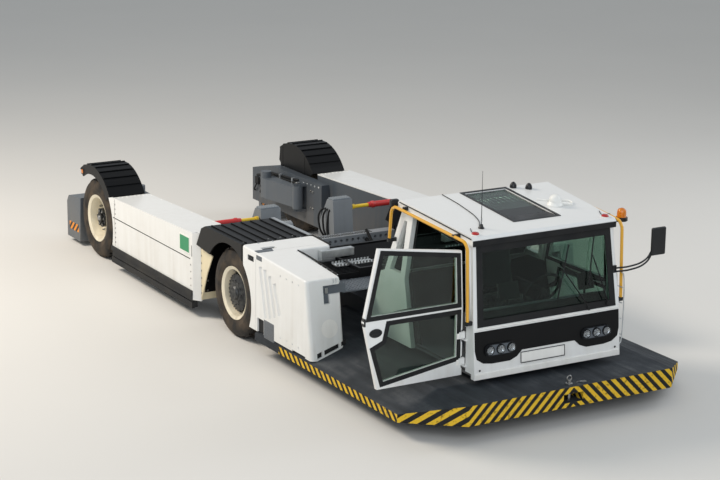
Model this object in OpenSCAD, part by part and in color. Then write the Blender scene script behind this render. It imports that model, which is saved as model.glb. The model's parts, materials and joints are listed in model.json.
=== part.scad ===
// Aircraft pushback tractor without a towbar. X runs across, Y along, Z up, and the front faces -Y.
// Inside the modules y = 0 is the front axle, x = 0 the middle plane and z = 0 the ground.

/* [Overall] */
// Distance between the front and the rear axle
wheelbase = 3810; // [3700:10:3950]
// Half of the width over the side panels
body_half = 1660; // [1620:10:1700]
// Width of each side arm
arm_w = 480; // [460:10:500]
// Overhang from the rear axle to the tail
rear_overhang = 990; // [900:10:1050]
// Overhang from the front axle to the bumper face
front_overhang = 4060; // [4000:10:4150]
// Height of the arms' top edge at the rear wheel
arm_top = 910; // [890:5:930]
// Height of the arms' top edge at the front wheel
arm_top_front = 980; // [950:5:1000]
// Height of the arms' underside
arm_bottom = 260; // [230:5:290]

/* [Wheels] */
// Outside diameter of a tyre
tyre_d = 995; // [980:5:1010]
// Width of a tyre
tyre_w = 385; // [370:5:395]
// Diameter of the rim's lip
rim_d = 590; // [570:5:600]
// Distance from the side panel's face in to the tyre's face
wheel_inset = 60; // [50:5:80]
// Radius of the running spindle in a hub
spindle_r = 60; // [50:2:70]
// Radial running gap between a spindle and its hub
running_gap = 0.05; // [0.02:0.01:0.08]
// Radius of the steering kingpins
kingpin_r = 36; // [30:1:40]
// Radial gap from a tyre to its wheel arch
arch_gap = 64; // [50:2:70]

/* [Fenders] */
// Thickness of the fender sheet
sheet_t = 20; // [15:1:25]
// Height of the front fender's flat top
fender_top = 1130; // [1110:5:1150]
// Width of a front fender
front_fender_w = 870; // [850:5:880]
// Length of a front fender ahead of the axle
fender_ahead = 340; // [320:5:360]
// Height of the ribs on the fenders
rib_h = 12; // [8:1:16]

/* [Side boxes] */
// Length of a side box from the front axle
box_front = 1760; // [1700:10:1800]
// Width of a side box at its front
box_w = 450; // [430:5:470]
// Width of a side box beside the fender
box_wide = 860; // [840:5:870]
// Depth of the wide part of a side box
box_wide_l = 410; // [380:5:440]
// Height of a side box's top at its front
box_top = 1075; // [1050:5:1090]

/* [Deck] */
// Half of the width of the deck
deck_half = 1670; // [1650:5:1690]
// Half of the width of the bumper's straight face
bumper_half = 1190; // [1150:10:1230]
// Length of the cut corner of the deck
corner_l = 490; // [450:10:530]
// Height of the deck's flat middle
deck_top = 390; // [380:5:400]
// Height of the deck at its outer edges
deck_edge = 240; // [230:5:255]
// Height of the bumper face
bumper_h = 200; // [180:5:210]
// Thickness of the deck at its outer edges
edge_t = 80; // [70:5:90]

/* [Cab] */
// Half of the width of the cab
cab_half = 860; // [840:5:880]
// Distance from the front axle to the cab's front face
cab_front_y = 3640; // [3600:5:3660]
// Distance from the front axle to the cab's back wall
cab_back_y = 1720; // [1700:5:1760]
// Height of the cab's underside
cab_bottom = 460; // [450:5:470]
// Height of the cab's waist
cab_waist = 950; // [930:5:970]
// Height of the roof at its front edge
roof_front = 1830; // [1810:5:1850]
// Height of the roof at its rear edge
roof_rear = 1940; // [1920:5:1960]
// Thickness of the roof
roof_t = 90; // [80:5:100]
// Thickness of the cab's walls
wall_t = 50; // [40:2:60]
// Thickness of the window panes
glass_t = 8; // [6:1:10]

/* [Doors] */
// Length of a door at its waist
door_l = 1100; // [1080:5:1110]
// Thickness of a door
door_t = 42; // [36:2:46]
// Gap round a door
door_gap = 8; // [6:1:12]
// Angle at which the right door stands open
door_open = 90; // [60:5:90]
// Radius of the door hinge pins
hinge_r = 10; // [8:1:12]

/* [Pick-up gear] */
// Width of the lifting cradle
cradle_w = 1500; // [1440:10:1560]
// Length of the lifting cradle
cradle_l = 1250; // [1200:10:1300]
// Radius of the cradle's pivot pins
cradle_pin_r = 35; // [30:1:40]
// Length of a gate arm
gate_l = 800; // [760:10:840]
// Radius of a gate arm's pivot pin
gate_pin_r = 45; // [40:1:50]

/* [Hidden] */
$fn = 48;
seat_gap = 0.3; // between two pieces that rest on each other

// Places that follow from the sizes above
tyre_r = tyre_d / 2;
rim_r = rim_d / 2;
wheel_x = body_half - wheel_inset - tyre_w / 2;
tail_y = wheelbase + rear_overhang;
arch_r = tyre_r + arch_gap;
arm_in = body_half - arm_w;
rear_arch_front = wheelbase - arch_r - 95;
arm_front = arch_r + 320;
cab_front = -cab_front_y;
cab_back = -cab_back_y;
box_rear_y = -fender_ahead;
deck_front = -front_overhang;
deck_rear = -(arch_r + 100);
hinge_x = cab_half + 12;
hinge_y = cab_front + 190;
door_reach = hinge_x + door_l;
shift_x = (door_reach - max(deck_half, body_half + 15)) / 2;
shift_y = -(tail_y - front_overhang) / 2;

// Moves the whole machine so that the origin is under the middle of its box
module place() translate([shift_x, shift_y, 0]) children();
// Draws a right-hand piece (on -X) and its mirror image
module pair() { children(); mirror([1, 0, 0]) children(); }
// A bar from corner a to corner b
module bar(a, b) translate(a) cube(b - a);
// A profile of [y, z] points drawn across from x0 to x1
module across(x0, x1, pts) translate([x0, 0, 0]) rotate([90, 0, 90]) linear_extrude(x1 - x0) polygon(pts);
// A profile of [x, z] points drawn along from y0 to y1
module along(y0, y1, pts) translate([0, y1, 0]) rotate([90, 0, 0]) linear_extrude(y1 - y0) polygon(pts);
// A plan of [x, y] points drawn up from z0 to z1
module upright(z0, z1, pts) translate([0, 0, z0]) linear_extrude(z1 - z0) polygon(pts);
// A round bar across, from x0 to x1
module rod_x(x0, x1, y, z, r) translate([x0, y, z]) rotate([0, 90, 0]) cylinder(h = x1 - x0, r = r);
// A round bar along, from y0 to y1
module rod_y(x, y0, y1, z, r) translate([x, y0, z]) rotate([-90, 0, 0]) cylinder(h = y1 - y0, r = r);
// An upright round bar, from z0 to z1
module rod_z(x, y, z0, z1, r) translate([x, y, z0]) cylinder(h = z1 - z0, r = r);
// Unit vector of v
function unit(v) = v / norm(v);
// A path with each inner corner rounded to radius r in n steps
function rounded(p, r, n = 4) = concat([p[0]], [for (i = [1 : len(p) - 2])
    let (u = unit(p[i - 1] - p[i]), v = unit(p[i + 1] - p[i]), h = acos(max(-1, min(1, u * v))) / 2,
        c = p[i] + unit(u + v) * r / sin(h), a = p[i] + u * r / tan(h), b = p[i] + v * r / tan(h))
    for (k = [0 : n]) c + r * unit((a - c) * (1 - k / n) + (b - c) * (k / n))], [p[len(p) - 1]]);
// A round tube of radius r swept along a path, with flat ends
module swept(p, r, sides = 8) {
    last = len(p) - 1;
    rings = [for (i = [0 : last])
        let (t = unit(unit(p[min(i, last - 1) + 1] - p[min(i, last - 1)]) + unit(p[max(i, 1)] - p[max(i, 1) - 1])),
            s = unit(cross(t, abs(t[0]) > 0.9 ? [0, 1, 0] : [1, 0, 0])), q = cross(t, s))
        [for (k = [0 : sides - 1]) p[i] + r * (cos(k * 360 / sides) * s + sin(k * 360 / sides) * q)]];
    polyhedron([for (g = rings) each g], concat([[for (k = [0 : sides - 1]) k]],
        [for (i = [0 : last - 1]) for (k = [0 : sides - 1]) let (j = (k + 1) % sides)
            [i * sides + j, i * sides + k, (i + 1) * sides + k, (i + 1) * sides + j]],
        [[for (k = [sides - 1 : -1 : 0]) last * sides + k]]), convexity = 6);
}
// Points on an arc of radius r round [cy, cz], from angle a to angle b
function arc(cy, cz, r, a, b, n = 12) = [for (i = [0 : n]) let (t = a + (b - a) * i / n) [cy + r * cos(t), cz + r * sin(t)]];
// Height of an arm's top at y
function arm_top_at(y) = arm_top + (arm_top_front - arm_top) * (rear_arch_front - y) / (rear_arch_front - arm_front);

// Frame: two arms with a closed front, open between the rear wheels
rear_wall_in = arm_in - 110;
wall_out = arm_in + 12;
wall_top = 830;
spine_half = 560;
spine_top = 560;
cover_t = 14;
arm_out = body_half - 160;
cross_y = [arch_r + 60, arm_front + 260];
beam_r = 85;
bracket_t = 34;
lug_t = 32;
module frame() {
    color("#3c4650") difference() {
        union() {
            pair() {
                // box of the arm between the wheels
                across(-arm_out, -arm_in, [[arm_front + 40, arm_bottom], [rear_arch_front - 30, arm_bottom],
                    [rear_arch_front - 30, arm_top_at(rear_arch_front - 30) - cover_t - seat_gap],
                    [arm_front + 40, arm_top_at(arm_front + 40) - cover_t - seat_gap]]);
                // wall inside the rear wheel
                across(-wall_out, -rear_wall_in, [[rear_arch_front - 330, arm_bottom], [tail_y - 60, arm_bottom],
                    [tail_y - 60, wall_top - 130], [wheelbase + stay_y + 40, wall_top], [rear_arch_front - 330, wall_top]]);
                bar([-arm_out, arm_front + 40, arm_bottom + 20], [-arm_in, cross_y[1], spine_top]);
                // bracket and pin of the cradle
                bar([-cradle_w / 2 - 6 - bracket_t, cross_y[1] - 10, cradle_z - 60],
                    [-cradle_w / 2 - 6, cradle_y + 60, cradle_z + 60]);
                rod_x(-cradle_w / 2 - 6 - bracket_t, -cradle_w / 2 + 52, cradle_y, cradle_z, cradle_pin_r);
                // lugs and pin of the gate arm
                for (z = [gate_z[0] - lug_t, gate_z[1]]) upright(z, z + lug_t, [[-rear_wall_in - 10, gate_y - 90],
                    [-gate_x, gate_y - 60], [-gate_x + 55, gate_y], [-gate_x, gate_y + 60], [-rear_wall_in - 10, gate_y + 90]]);
                rod_z(-gate_x, gate_y, gate_z[0] - lug_t, gate_z[1] + lug_t, gate_pin_r);
            }
            bar([-arm_in - 8, cross_y[0], arm_bottom + 20], [arm_in + 8, cross_y[1], spine_top]);
            bar([-spine_half, deck_rear, arm_bottom + 20], [spine_half, cross_y[0] + 20, spine_top]);
            bar([-spine_half, cab_back + 70, deck_top], [spine_half, deck_rear + 1, spine_top]);
        }
        // bore for each rear spindle and for the front axle beam
        pair() rod_x(-wall_out - 10, -rear_wall_in + 20, wheelbase, tyre_r, spindle_r);
        rod_x(-spine_half - 20, spine_half + 20, 0, tyre_r, beam_r);
    }
}

// Grey tail boxes behind the rear wheels, with a skirt
module rear_boxes() {
    color("#6a7077") pair() difference() {
        across(-body_half + 70, -wall_out - seat_gap, [[wheelbase + arch_r + 10, 60], [tail_y, 60], [tail_y, 520],
            [tail_y - 60, 600], [wheelbase + arch_r - 30, 640], [wheelbase + arch_r - 20, 500]]);
        bar([-body_half + 110, tail_y - 20, 360], [-arm_in - 60, tail_y + 10, 480]);
    }
}

// White side panels: a cover over each arm, with a fold at the front wheel
fold_in = 60;
fold_y = 90;
crease_z = 660;
rail_steps = [[250, 305, 0], [180, 245, 12], [100, 172, 4]]; // z from, z to, set back
panel_low = rail_steps[0][1] + seat_gap;
module side_panels() {
    y0 = arm_front;
    y1 = rear_arch_front;
    top = arm_top_at(y0);
    color("#e8e8e6") pair() difference() {
        union() {
            across(-body_half, -body_half + cover_t, concat([[y0, panel_low], [y1, panel_low]],
                arc(wheelbase, tyre_r, arch_r + 110, 196, 145, 8), [[y1, arm_top], [y0, top]]));
            across(-body_half, -arm_in, [[y0, top - cover_t], [y1 - 28, arm_top_at(y1 - 28) - cover_t],
                [y1 - 28, arm_top_at(y1 - 28)], [y0, top]]);
            bar([-body_half + fold_in, y0 - fold_y, top - cover_t], [-arm_in, y0 + 1, top]);
            upright(arm_bottom - 60, top, [[-body_half, y0], [-body_half + fold_in, y0 - fold_y],
                [-body_half + fold_in + cover_t, y0 - fold_y], [-body_half + cover_t, y0 + 3], [-body_half, y0 + 3]]);
        }
        // crease along the panel
        bar([-body_half - 1, y0 + 60, crease_z], [-body_half + 5, y1 - 20, crease_z + 12]);
    }
}

// Black rub rails in three steps under the panels, on brackets from the arms
module rub_rails() {
    y0 = arm_front + 4;
    y1 = rear_arch_front + 20;
    color("#1c1e20") pair() {
        for (s = rail_steps) bar([-body_half - 15 + s[2], y0, s[0]], [-body_half + 24, y1 - s[2], s[1]]);
        bar([-body_half + 20, y0, rail_steps[2][0] + 10], [-body_half + 60, y1 - 30, rail_steps[0][1] - 5]);
        for (i = [0 : 2]) bar([-body_half + 55, y0 + 120 + i * (y1 - y0 - 300) / 2, arm_bottom + 4],
            [-arm_out - seat_gap, y0 + 180 + i * (y1 - y0 - 300) / 2, rail_steps[0][1] - 10]);
    }
}

// Cream end plates that face the front wheels, each with a side cheek
module arch_plates() {
    y = arm_front - fold_y;
    x = -body_half + fold_in + 4;
    color("#dccfae") pair() {
        along(y - 12, y, [[x, arm_bottom - 40], [-arm_in - 8 - seat_gap, arm_bottom - 40],
            [-arm_in - 8 - seat_gap, spine_top + seat_gap], [-arm_in + 180, spine_top + seat_gap],
            [-arm_in + 180, arm_top - 42], [x, arm_top - 42]]);
        across(x, x + 12, [[y - 1, arm_bottom - 40], [y - 1, arm_top - 70], [arch_r - 60, 790], [arch_r + 80, 560]]);
    }
}

// Rear fenders: an arc of ribbed sheet with a narrow outer cheek, on stays
rear_fender_r = arch_r + 118;
fender_from = 58;
fender_to = 145;
stay_y = 300;
module rear_fenders() {
    cy = wheelbase;
    cz = tyre_r;
    under = cz + sqrt(pow(rear_fender_r - sheet_t, 2) - pow(stay_y, 2));
    color("#22262b") pair() {
        across(-body_half + 10, -arm_in, concat(arc(cy, cz, rear_fender_r, fender_from, fender_to, 14),
            arc(cy, cz, rear_fender_r - sheet_t, fender_to, fender_from, 14)));
        across(-body_half + 10, -body_half + 10 + sheet_t, concat(arc(cy, cz, rear_fender_r - 4, fender_from + 2, fender_to - 1, 14),
            arc(cy, cz, arch_r, fender_to - 1, fender_from + 2, 14)));
        for (a = [fender_from + 8 : 11 : fender_to - 8]) translate([0, cy, cz]) rotate([a - 90, 0, 0])
            bar([-body_half + 20, -9, rear_fender_r - 4], [-arm_in - 10, 9, rear_fender_r + rib_h]);
        for (s = [-1, 1]) bar([-wall_out, cy + s * stay_y - 30, wall_top + seat_gap],
            [-arm_in, cy + s * stay_y + 30, under + 6]);
    }
}

// Front fenders: a wide flat-topped arch over each steered wheel
module front_fenders() {
    x0 = -body_half;
    x1 = x0 + front_fender_w;
    back = arm_front - fold_y - 12;
    low = arm_top - 40;
    outer = [[back, low], [back - 130, fender_top - 45], [back - 230, fender_top], [box_rear_y, fender_top],
        [box_rear_y, low - 120]];
    inner = [[back - sheet_t * 1.3, low - 20], [back - 140, fender_top - 45 - sheet_t],
        [back - 235, fender_top - sheet_t], [box_rear_y + sheet_t, fender_top - sheet_t], [box_rear_y + sheet_t, low - 130]];
    color("#22262b") pair() {
        difference() {
            across(x0, x1, outer);
            across(x0 + sheet_t, x1 - sheet_t, inner);
            rod_x(x0 - 1, x1 + 1, 0, tyre_r, arch_r);
        }
        for (i = [0 : 6]) bar([x0 + 60 + i * (front_fender_w - 150) / 6, box_rear_y + 30, fender_top - 1],
            [x0 + 76 + i * (front_fender_w - 150) / 6, back - 260, fender_top + rib_h]);
        // ear on the cross beam
        bar([x1 - sheet_t, 575, 700], [x1, 700, 900]);
    }
}

// White boxes beside the deck, wide at the fender and narrow beside the cab
module side_boxes() {
    x0 = -body_half;
    color("#ecebe8") pair() difference() {
        intersection() {
            upright(0, 1300, [[x0, box_rear_y], [x0 + box_wide, box_rear_y],
                [x0 + box_wide, box_rear_y - box_wide_l], [x0 + box_w, box_rear_y - box_wide_l],
                [x0 + box_w, -box_front - 130], [x0, -box_front - 130]]);
            across(x0 - 1, x0 + box_wide + 1, concat([[-box_front, box_top], [-box_front - 130, 265],
                [deck_rear - 30, 265], [deck_rear + 10, 200], [deck_rear + 70, 200]],
                arc(0, tyre_r, arch_r, 218, 190, 4), [[box_rear_y, 640], [box_rear_y, fender_top]]));
        }
        rod_x(x0 - 1, x0 + box_wide + 1, 0, tyre_r, arch_r);
        // seat on the deck, which falls towards its edge
        along(-box_front - 200, deck_rear, [[x0 - 20, 0], [x0 + box_wide + 20, 0], [x0 + box_wide + 20, deck_top],
            [-bumper_half, deck_top], [x0 - 20, deck_edge - (20 - deck_half + body_half) * deck_slope]]);
        // handle recess and slots in the front face
        bar([x0 + 90, -box_front - 130, 800], [x0 + 250, -box_front + 10, 960]);
    }
}
deck_slope = (deck_top - deck_edge) / (deck_half - bumper_half);

// Deck: a flat middle with wings that fall to the sides, and the bumper face
deck_plan = [[-bumper_half, deck_front], [bumper_half, deck_front], [deck_half, deck_front + corner_l],
    [deck_half, deck_rear], [-deck_half, deck_rear], [-deck_half, deck_front + corner_l]];
module deck() {
    color("#2b2f33") difference() {
        intersection() {
            upright(0, deck_top + 100, deck_plan);
            along(deck_front - 1, deck_rear + 1, [[-deck_half, deck_edge - edge_t], [-bumper_half, deck_top - bumper_h],
                [bumper_half, deck_top - bumper_h], [deck_half, deck_edge - edge_t], [deck_half, deck_edge],
                [bumper_half, deck_top], [-bumper_half, deck_top], [-deck_half, deck_edge]]);
        }
        // jaw of the tow coupling and its pin hole
        bar([-jaw_w / 2, deck_front - 1, jaw_z], [jaw_w / 2, deck_front + jaw_d, jaw_z + jaw_h]);
        rod_z(0, deck_front + jaw_pin, 0, deck_top + 10, tow_pin_r + 1);
    }
}
jaw_w = 230;
jaw_h = 90;
jaw_d = 190;
jaw_z = 235;
jaw_pin = 80;
tow_pin_r = 20;

// Tow pin with its collar and ring
module tow_coupling() {
    color("#4a4d50") {
        rod_z(0, deck_front + jaw_pin, deck_top - bumper_h, deck_top + 40, tow_pin_r);
        rod_z(0, deck_front + jaw_pin, deck_top, deck_top + 14, tow_pin_r + 16);
        translate([0, deck_front + jaw_pin, deck_top + 62]) rotate([90, 0, 0]) rotate_extrude() translate([26, 0]) circle(6, $fn = 24);
    }
}

// Engine: one plain block in the frame behind the cab
module engine() {
    color("#55595c") bar([-380, -1500, 560], [380, -480, 900]);
}

// Radiator grille: a frame of slats over the engine
grille_x = 440;
grille_y = [-1560, -420];
module top_grille() {
    color("#26292c") {
        difference() {
            bar([-grille_x, grille_y[0], 900], [grille_x, grille_y[1], 1000]);
            bar([-grille_x + 40, grille_y[0] + 40, 899], [grille_x - 40, grille_y[1] - 40, 1001]);
        }
        n = floor((2 * grille_x - 80) / 55);
        for (i = [1 : n - 1]) translate([-grille_x + 40 + i * (2 * grille_x - 80) / n, 0, 955]) rotate([0, 35, 0])
            bar([-5, grille_y[0] + 39, -28], [5, grille_y[1] - 39, 28]);
    }
}

// Walkway plates between the grille and the side boxes
module walkway() {
    color("#a9adb0") pair() {
        bar([-body_half + box_w + 2, cab_back + 1, 880], [-grille_x - seat_gap, box_rear_y - box_wide_l - 4, 900]);
        bar([-spine_half, cab_back + 1, deck_top + seat_gap], [-grille_x - 40, cab_back + 60, 881]);
        bar([-spine_half, box_rear_y - box_wide_l - 80, spine_top + seat_gap], [-grille_x - 40, box_rear_y - box_wide_l - 20, 881]);
    }
}

// Cross beam behind the engine, with a row of holes along its front face
module cross_beam() {
    color("#8d9296") difference() {
        union() {
            bar([-body_half + front_fender_w, 560, 700], [body_half - front_fender_w, 700, 800]);
            pair() bar([-560, 590, 560], [-420, 670, 700]);
        }
        for (i = [-9 : 9]) rod_y(i * 75, 550, 720, 750, 18);
    }
}

// Front axle beam with a fork for each kingpin
fork_z = 95;
kingpin_x = wheel_x - 50;
module front_axle() {
    color("#33383d") difference() {
        union() {
            rod_x(-kingpin_x + 70, kingpin_x - 70, 0, tyre_r, beam_r);
            pair() {
                bar([-kingpin_x - 20, -55, tyre_r - fork_z - 35], [-kingpin_x + 100, 55, tyre_r + fork_z + 35]);
                rod_z(-kingpin_x, 0, tyre_r - fork_z - 35, tyre_r + fork_z + 35, 58);
            }
        }
        pair() {
            bar([-kingpin_x - 110, -70, tyre_r - fork_z], [-kingpin_x + 71, 70, tyre_r + fork_z]);
            rod_z(-kingpin_x, 0, tyre_r - 200, tyre_r + 200, kingpin_r + running_gap);
        }
    }
}

// Rear spindles on the arms' walls, with the hub motors' housings
rear_disc = 20;
front_disc = 60;
module rear_axles() {
    face = wheel_x + rear_disc + 42;
    color("#3a3d40") pair() {
        rod_x(-face - 30, -rear_wall_in + 10, wheelbase, tyre_r, spindle_r);
        rod_x(-wall_out - 14, -wall_out, wheelbase, tyre_r, 110);
        rod_x(-face - 58, -face, wheelbase, tyre_r, 118);
        for (a = [0 : 60 : 300]) translate([0, wheelbase, tyre_r]) rotate([a, 0, 0])
            rod_x(-face - 70, -face - 18, 96, 0, 24);
        rod_x(-face - 88, -face - 57, wheelbase, tyre_r, 62);
    }
}

// Knuckle: a kingpin block and the spindle that carries the front wheel
module knuckle() {
    color("#33383d") {
        rod_z(-kingpin_x, 0, tyre_r - fork_z - 45, tyre_r + fork_z + 45, kingpin_r);
        rod_z(-kingpin_x, 0, tyre_r - fork_z + 1, tyre_r + fork_z - 1, 56);
        rod_x(-wheel_x - front_disc - 40, -kingpin_x, 0, tyre_r, spindle_r);
    }
}

// Front hub: a round planetary housing with a toothed edge of bolts
hub_teeth = 30;
module hub() {
    color("#3a3c3f") translate([-wheel_x - front_disc - 40, 0, tyre_r]) rotate([0, -90, 0]) {
        rotate_extrude() polygon([[0, seat_gap], [150, seat_gap], [150, 34], [128, 52], [96, 58], [88, 84], [60, 92], [0, 92]]);
        for (i = [0 : hub_teeth - 1]) rotate([0, 0, i * 360 / hub_teeth]) translate([152, 0, 8]) cylinder(h = 24, r = 12, $fn = 6);
    }
}

// Tyre: a round section with a flat tread and bulged sides
module tyre(y) {
    w = tyre_w / 2;
    b = rim_r - 22;
    color("#1b1b1b") translate([-wheel_x, y, tyre_r]) rotate([0, -90, 0]) rotate_extrude($fn = 72)
        polygon([[b, -w + 42], [b + 22, -w + 22], [b + 55, -w + 6], [b + 105, -w], [b + 160, -w + 7],
            [tyre_r - 22, -w + 22], [tyre_r - 5, -w + 40], [tyre_r, -w + 70], [tyre_r, w - 70],
            [tyre_r - 5, w - 40], [tyre_r - 22, w - 22], [b + 160, w - 7], [b + 105, w], [b + 55, w - 6],
            [b + 22, w - 22], [b, w - 42]]);
}

// Rim: a deep dish with a lip each side and a bored disc
module rim(y, disc) {
    w = tyre_w / 2 - 42;
    b = rim_r - 22;
    color("#e2d9c0") translate([-wheel_x, y, tyre_r]) rotate([0, -90, 0]) rotate_extrude($fn = 72)
        polygon([[b - 14, -w], [b, -w], [b, w], [rim_r, w + 20], [rim_r, w + 30], [b - 14, w + 12], [b - 20, w - 30],
            [b - 30, disc + 18], [190, disc + 14], [150, disc + 18], [spindle_r + 26, disc + 18],
            [spindle_r + 26, disc + 40], [spindle_r + running_gap, disc + 40], [spindle_r + running_gap, disc - 30],
            [spindle_r + 40, disc - 30], [spindle_r + 60, disc - 6], [b - 22, disc - 6]]);
}

// Cab floor: a tray on four pads, with a step on the right and the left
floor_half = cab_half - wall_t - seat_gap;
module cab_floor() {
    color("#2d3136") {
        bar([-floor_half, cab_front + 65, cab_bottom], [floor_half, cab_back - wall_t - seat_gap, cab_bottom + wall_t]);
        for (y = [cab_front + 300, cab_back - 300]) pair() rod_z(-500, y, deck_top + seat_gap, cab_bottom + 1, 70);
    }
}

// Cab front: the lower front wall, the pillars and the screen's frame
screen_set = 40; // from the front face at the bottom back to the screen's foot
screen_fall = 120; // from the screen's foot back to its head
screen_lean = atan(screen_fall / (roof_front - cab_waist));
low_lean = atan(screen_set / (cab_waist - cab_bottom));
screen_y = cab_front + screen_set;
top_half = 820;
roof_y = [cab_front + 120, cab_back - 530];
// Height of the roof's underside and of its top at y
function roof_under(y) = roof_front - roof_t + (roof_rear - roof_front) * (y - roof_y[0]) / (roof_y[1] - roof_y[0]);
function roof_over(y) = roof_front + (roof_rear - roof_front) * (y - roof_y[0] - 30) / (roof_y[1] - roof_y[0] - 70);
module lean() translate([0, screen_y, cab_waist]) rotate([-screen_lean, 0, 0]) children();
module cab_front() {
    h = (roof_under(roof_y[0]) - seat_gap - cab_waist) / cos(screen_lean) - 2;
    head = hinge_y + 30;
    color("#eeeeec") {
        across(-cab_half, cab_half, [[cab_front, cab_bottom], [cab_front + 60, cab_bottom],
            [screen_y + wall_t, cab_waist], [screen_y, cab_waist]]);
        pair() upright(cab_bottom + wall_t + seat_gap, cab_waist, [[-cab_half, cab_front + 62], [-cab_half, hinge_y - 26],
            [-cab_half + 24, hinge_y - 26], [-cab_half + 24, hinge_y + 2], [-cab_half + 60, hinge_y + 2], [-cab_half + 60, cab_front + 62]]);
        lean() difference() {
            along(0, wall_t, [[-cab_half, 0], [cab_half, 0], [top_half, h], [-top_half, h]]);
            along(-1, wall_t + 1, [[-cab_half + 90, 40], [cab_half - 90, 40], [top_half - 80, h - 40], [-top_half + 80, h - 40]]);
        }
        // front pillars, from the screen back to the doors
        pair() across(-cab_half + 6, -cab_half + 60, [[screen_y + 40, cab_waist - 1], [hinge_y + 2, cab_waist - 1],
            [hinge_y + 2, door_z[1]], [head, roof_under(head) - seat_gap], [roof_y[0] + 62, roof_under(roof_y[0] + 62) - seat_gap]]);
        // hinge lugs and pins
        pair() for (z = hinge_zs) {
            rod_z(-hinge_x, hinge_y, z - 40, z + 46, hinge_r);
            bar([-hinge_x - 14, hinge_y - 50, z - 40], [-cab_half + 20, hinge_y + 5, z - 26]);
        }
    }
}
hinge_zs = [600, 860];

// Roof: a slab that falls to the front, with the sunroof's opening
sunroof = [[-170, roof_y[0] + 290], [330, roof_y[1] - 80]];
roof_side = [[roof_y[0], roof_front - roof_t], [roof_y[0], roof_front - 25], [roof_y[0] + 30, roof_front],
    [roof_y[1] - 40, roof_rear], [roof_y[1], roof_rear - 25], [roof_y[1], roof_rear - roof_t]];
module cab_roof() {
    color("#e9eaeb") difference() {
        intersection() {
            across(-1000, 1000, roof_side);
            upright(0, 3000, [[-top_half - 20, roof_y[0] - 10], [top_half + 20, roof_y[0] - 10],
                [cab_half + 30, roof_y[1] + 10], [-cab_half - 30, roof_y[1] + 10]]);
        }
        bar([sunroof[0][0], sunroof[0][1], 1500], [sunroof[1][0], sunroof[1][1], 3000]);
    }
}

// Rear part of the cab: back wall, rear pillars and the low sides behind the doors
door_rear_y = hinge_y + door_l;
shelf = [cab_back - 240, 1150];
eave = [roof_y[1] - 40, roof_under(roof_y[1] - 40) - seat_gap];
module cab_rear() {
    xs = cab_half;
    top = door_rear_y - 142;
    outer = [[top, cab_bottom], [door_rear_y + door_gap, door_z[1]], [top, roof_under(top) - seat_gap],
        eave, shelf, [cab_back, shelf[1] - 90], [cab_back, cab_bottom]];
    color("#e6e7e8") difference() {
        across(-xs, xs, outer);
        across(-xs + wall_t, xs - wall_t, [[top - 500, 0], [cab_back - wall_t, 0], [cab_back - wall_t, shelf[1] - 120],
            [shelf[0] - wall_t - 10, shelf[1] - 30], [eave[0] - wall_t, roof_rear + 10], [top - 500, roof_rear + 10]]);
        // side windows
        across(-xs - 1, xs + 1, [[door_rear_y + 80, shelf[1] + 30], [door_rear_y - 30, roof_rear - 200],
            [eave[0] - 40, roof_rear - 200], [shelf[0] - 100, shelf[1] + 30]]);
        // rear window
        rear_window(-10, wall_t + 80);
    }
}
rear_lean = atan((shelf[0] - eave[0]) / (eave[1] - shelf[1]));
module rear_window(y0, y1) translate([0, shelf[0], shelf[1]]) rotate([rear_lean, 0, 0])
    bar([-cab_half + 110, -y1, 60], [cab_half - 110, -y0, 650]);

// Fixed glass: screen, rear window and sunroof
module cab_glass() {
    h = (roof_under(roof_y[0]) - seat_gap - cab_waist) / cos(screen_lean) - 2;
    color("#26302f") {
        lean() along(20, 20 + glass_t, [[-cab_half + 90, 40], [cab_half - 90, 40], [top_half - 80, h - 40], [-top_half + 80, h - 40]]);
        rear_window(20, 20 + glass_t);
        intersection() {
            bar([sunroof[0][0], sunroof[0][1], 1500], [sunroof[1][0], sunroof[1][1], 3000]);
            across(-cab_half, cab_half, [for (q = [[0, -30], [0, -10], [1, -10], [1, -30]]) [roof_y[q[0]], roof_over(roof_y[q[0]]) + q[1]]]);
        }
    }
}

// Dashboard with its cluster and the steering wheel
module dashboard() {
    color("#2a2c2f") {
        across(-cab_half + 70, cab_half - 70, [[cab_front + 100, cab_bottom + wall_t], [cab_front + 260, cab_bottom + wall_t],
            [cab_front + 330, 900], [cab_front + 420, 1010], [cab_front + 200, 1080], [cab_front + 110, 960]]);
        translate([250, cab_front + 400, 1030]) rotate([-60, 0, 0]) {
            cylinder(h = 126, r = 28);
            rotate_extrude() polygon([[186, 110], [200, 102], [214, 110], [214, 126], [200, 134], [186, 126]]);
            for (a = [90, 210, 330]) rotate([0, 0, a]) bar([10, -14, 112], [190, 14, 124]);
        }
    }
}

// Driver's seat: pedestal, cushion, back and headrest
module seat() {
    color("#24262a") translate([250, 0, 0]) {
        bar([-160, -2700, cab_bottom + wall_t], [160, -2380, 760]);
        bar([-240, -2800, 760], [240, -2300, 870]);
        across(-230, 230, [[-2400, 870], [-2300, 870], [-2210, 1400], [-2310, 1410]]);
        across(-130, 130, [[-2300, 1410], [-2215, 1400], [-2195, 1580], [-2270, 1590]]);
    }
}

// Headlamp clusters: a bezel with three lamps on each side
lamp_pitch = 115;
lamp_x = 580;
lamp_z = 790;
module headlamps() {
    color("#9ea3a6") for (s = [-1, 1]) translate([s * lamp_x, cab_front + (lamp_z - cab_bottom) * tan(low_lean), lamp_z]) rotate([90 - low_lean, 0, 0]) translate([0, 0, seat_gap]) {
        difference() {
            linear_extrude(24) { square([2 * lamp_pitch, 132], center = true); for (i = [-1, 1]) translate([i * lamp_pitch, 0]) circle(66); }
            for (i = [-1 : 1]) translate([i * lamp_pitch, 0, 8]) cylinder(h = 30, r = 46);
        }
        for (i = [-1 : 1]) translate([i * lamp_pitch, 0, 4]) cylinder(h = 14, r = 40);
    }
}

// Handrails along the roof's sides and down the front pillars
rail_x = cab_half + 45;
rail_r = 16;
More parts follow.
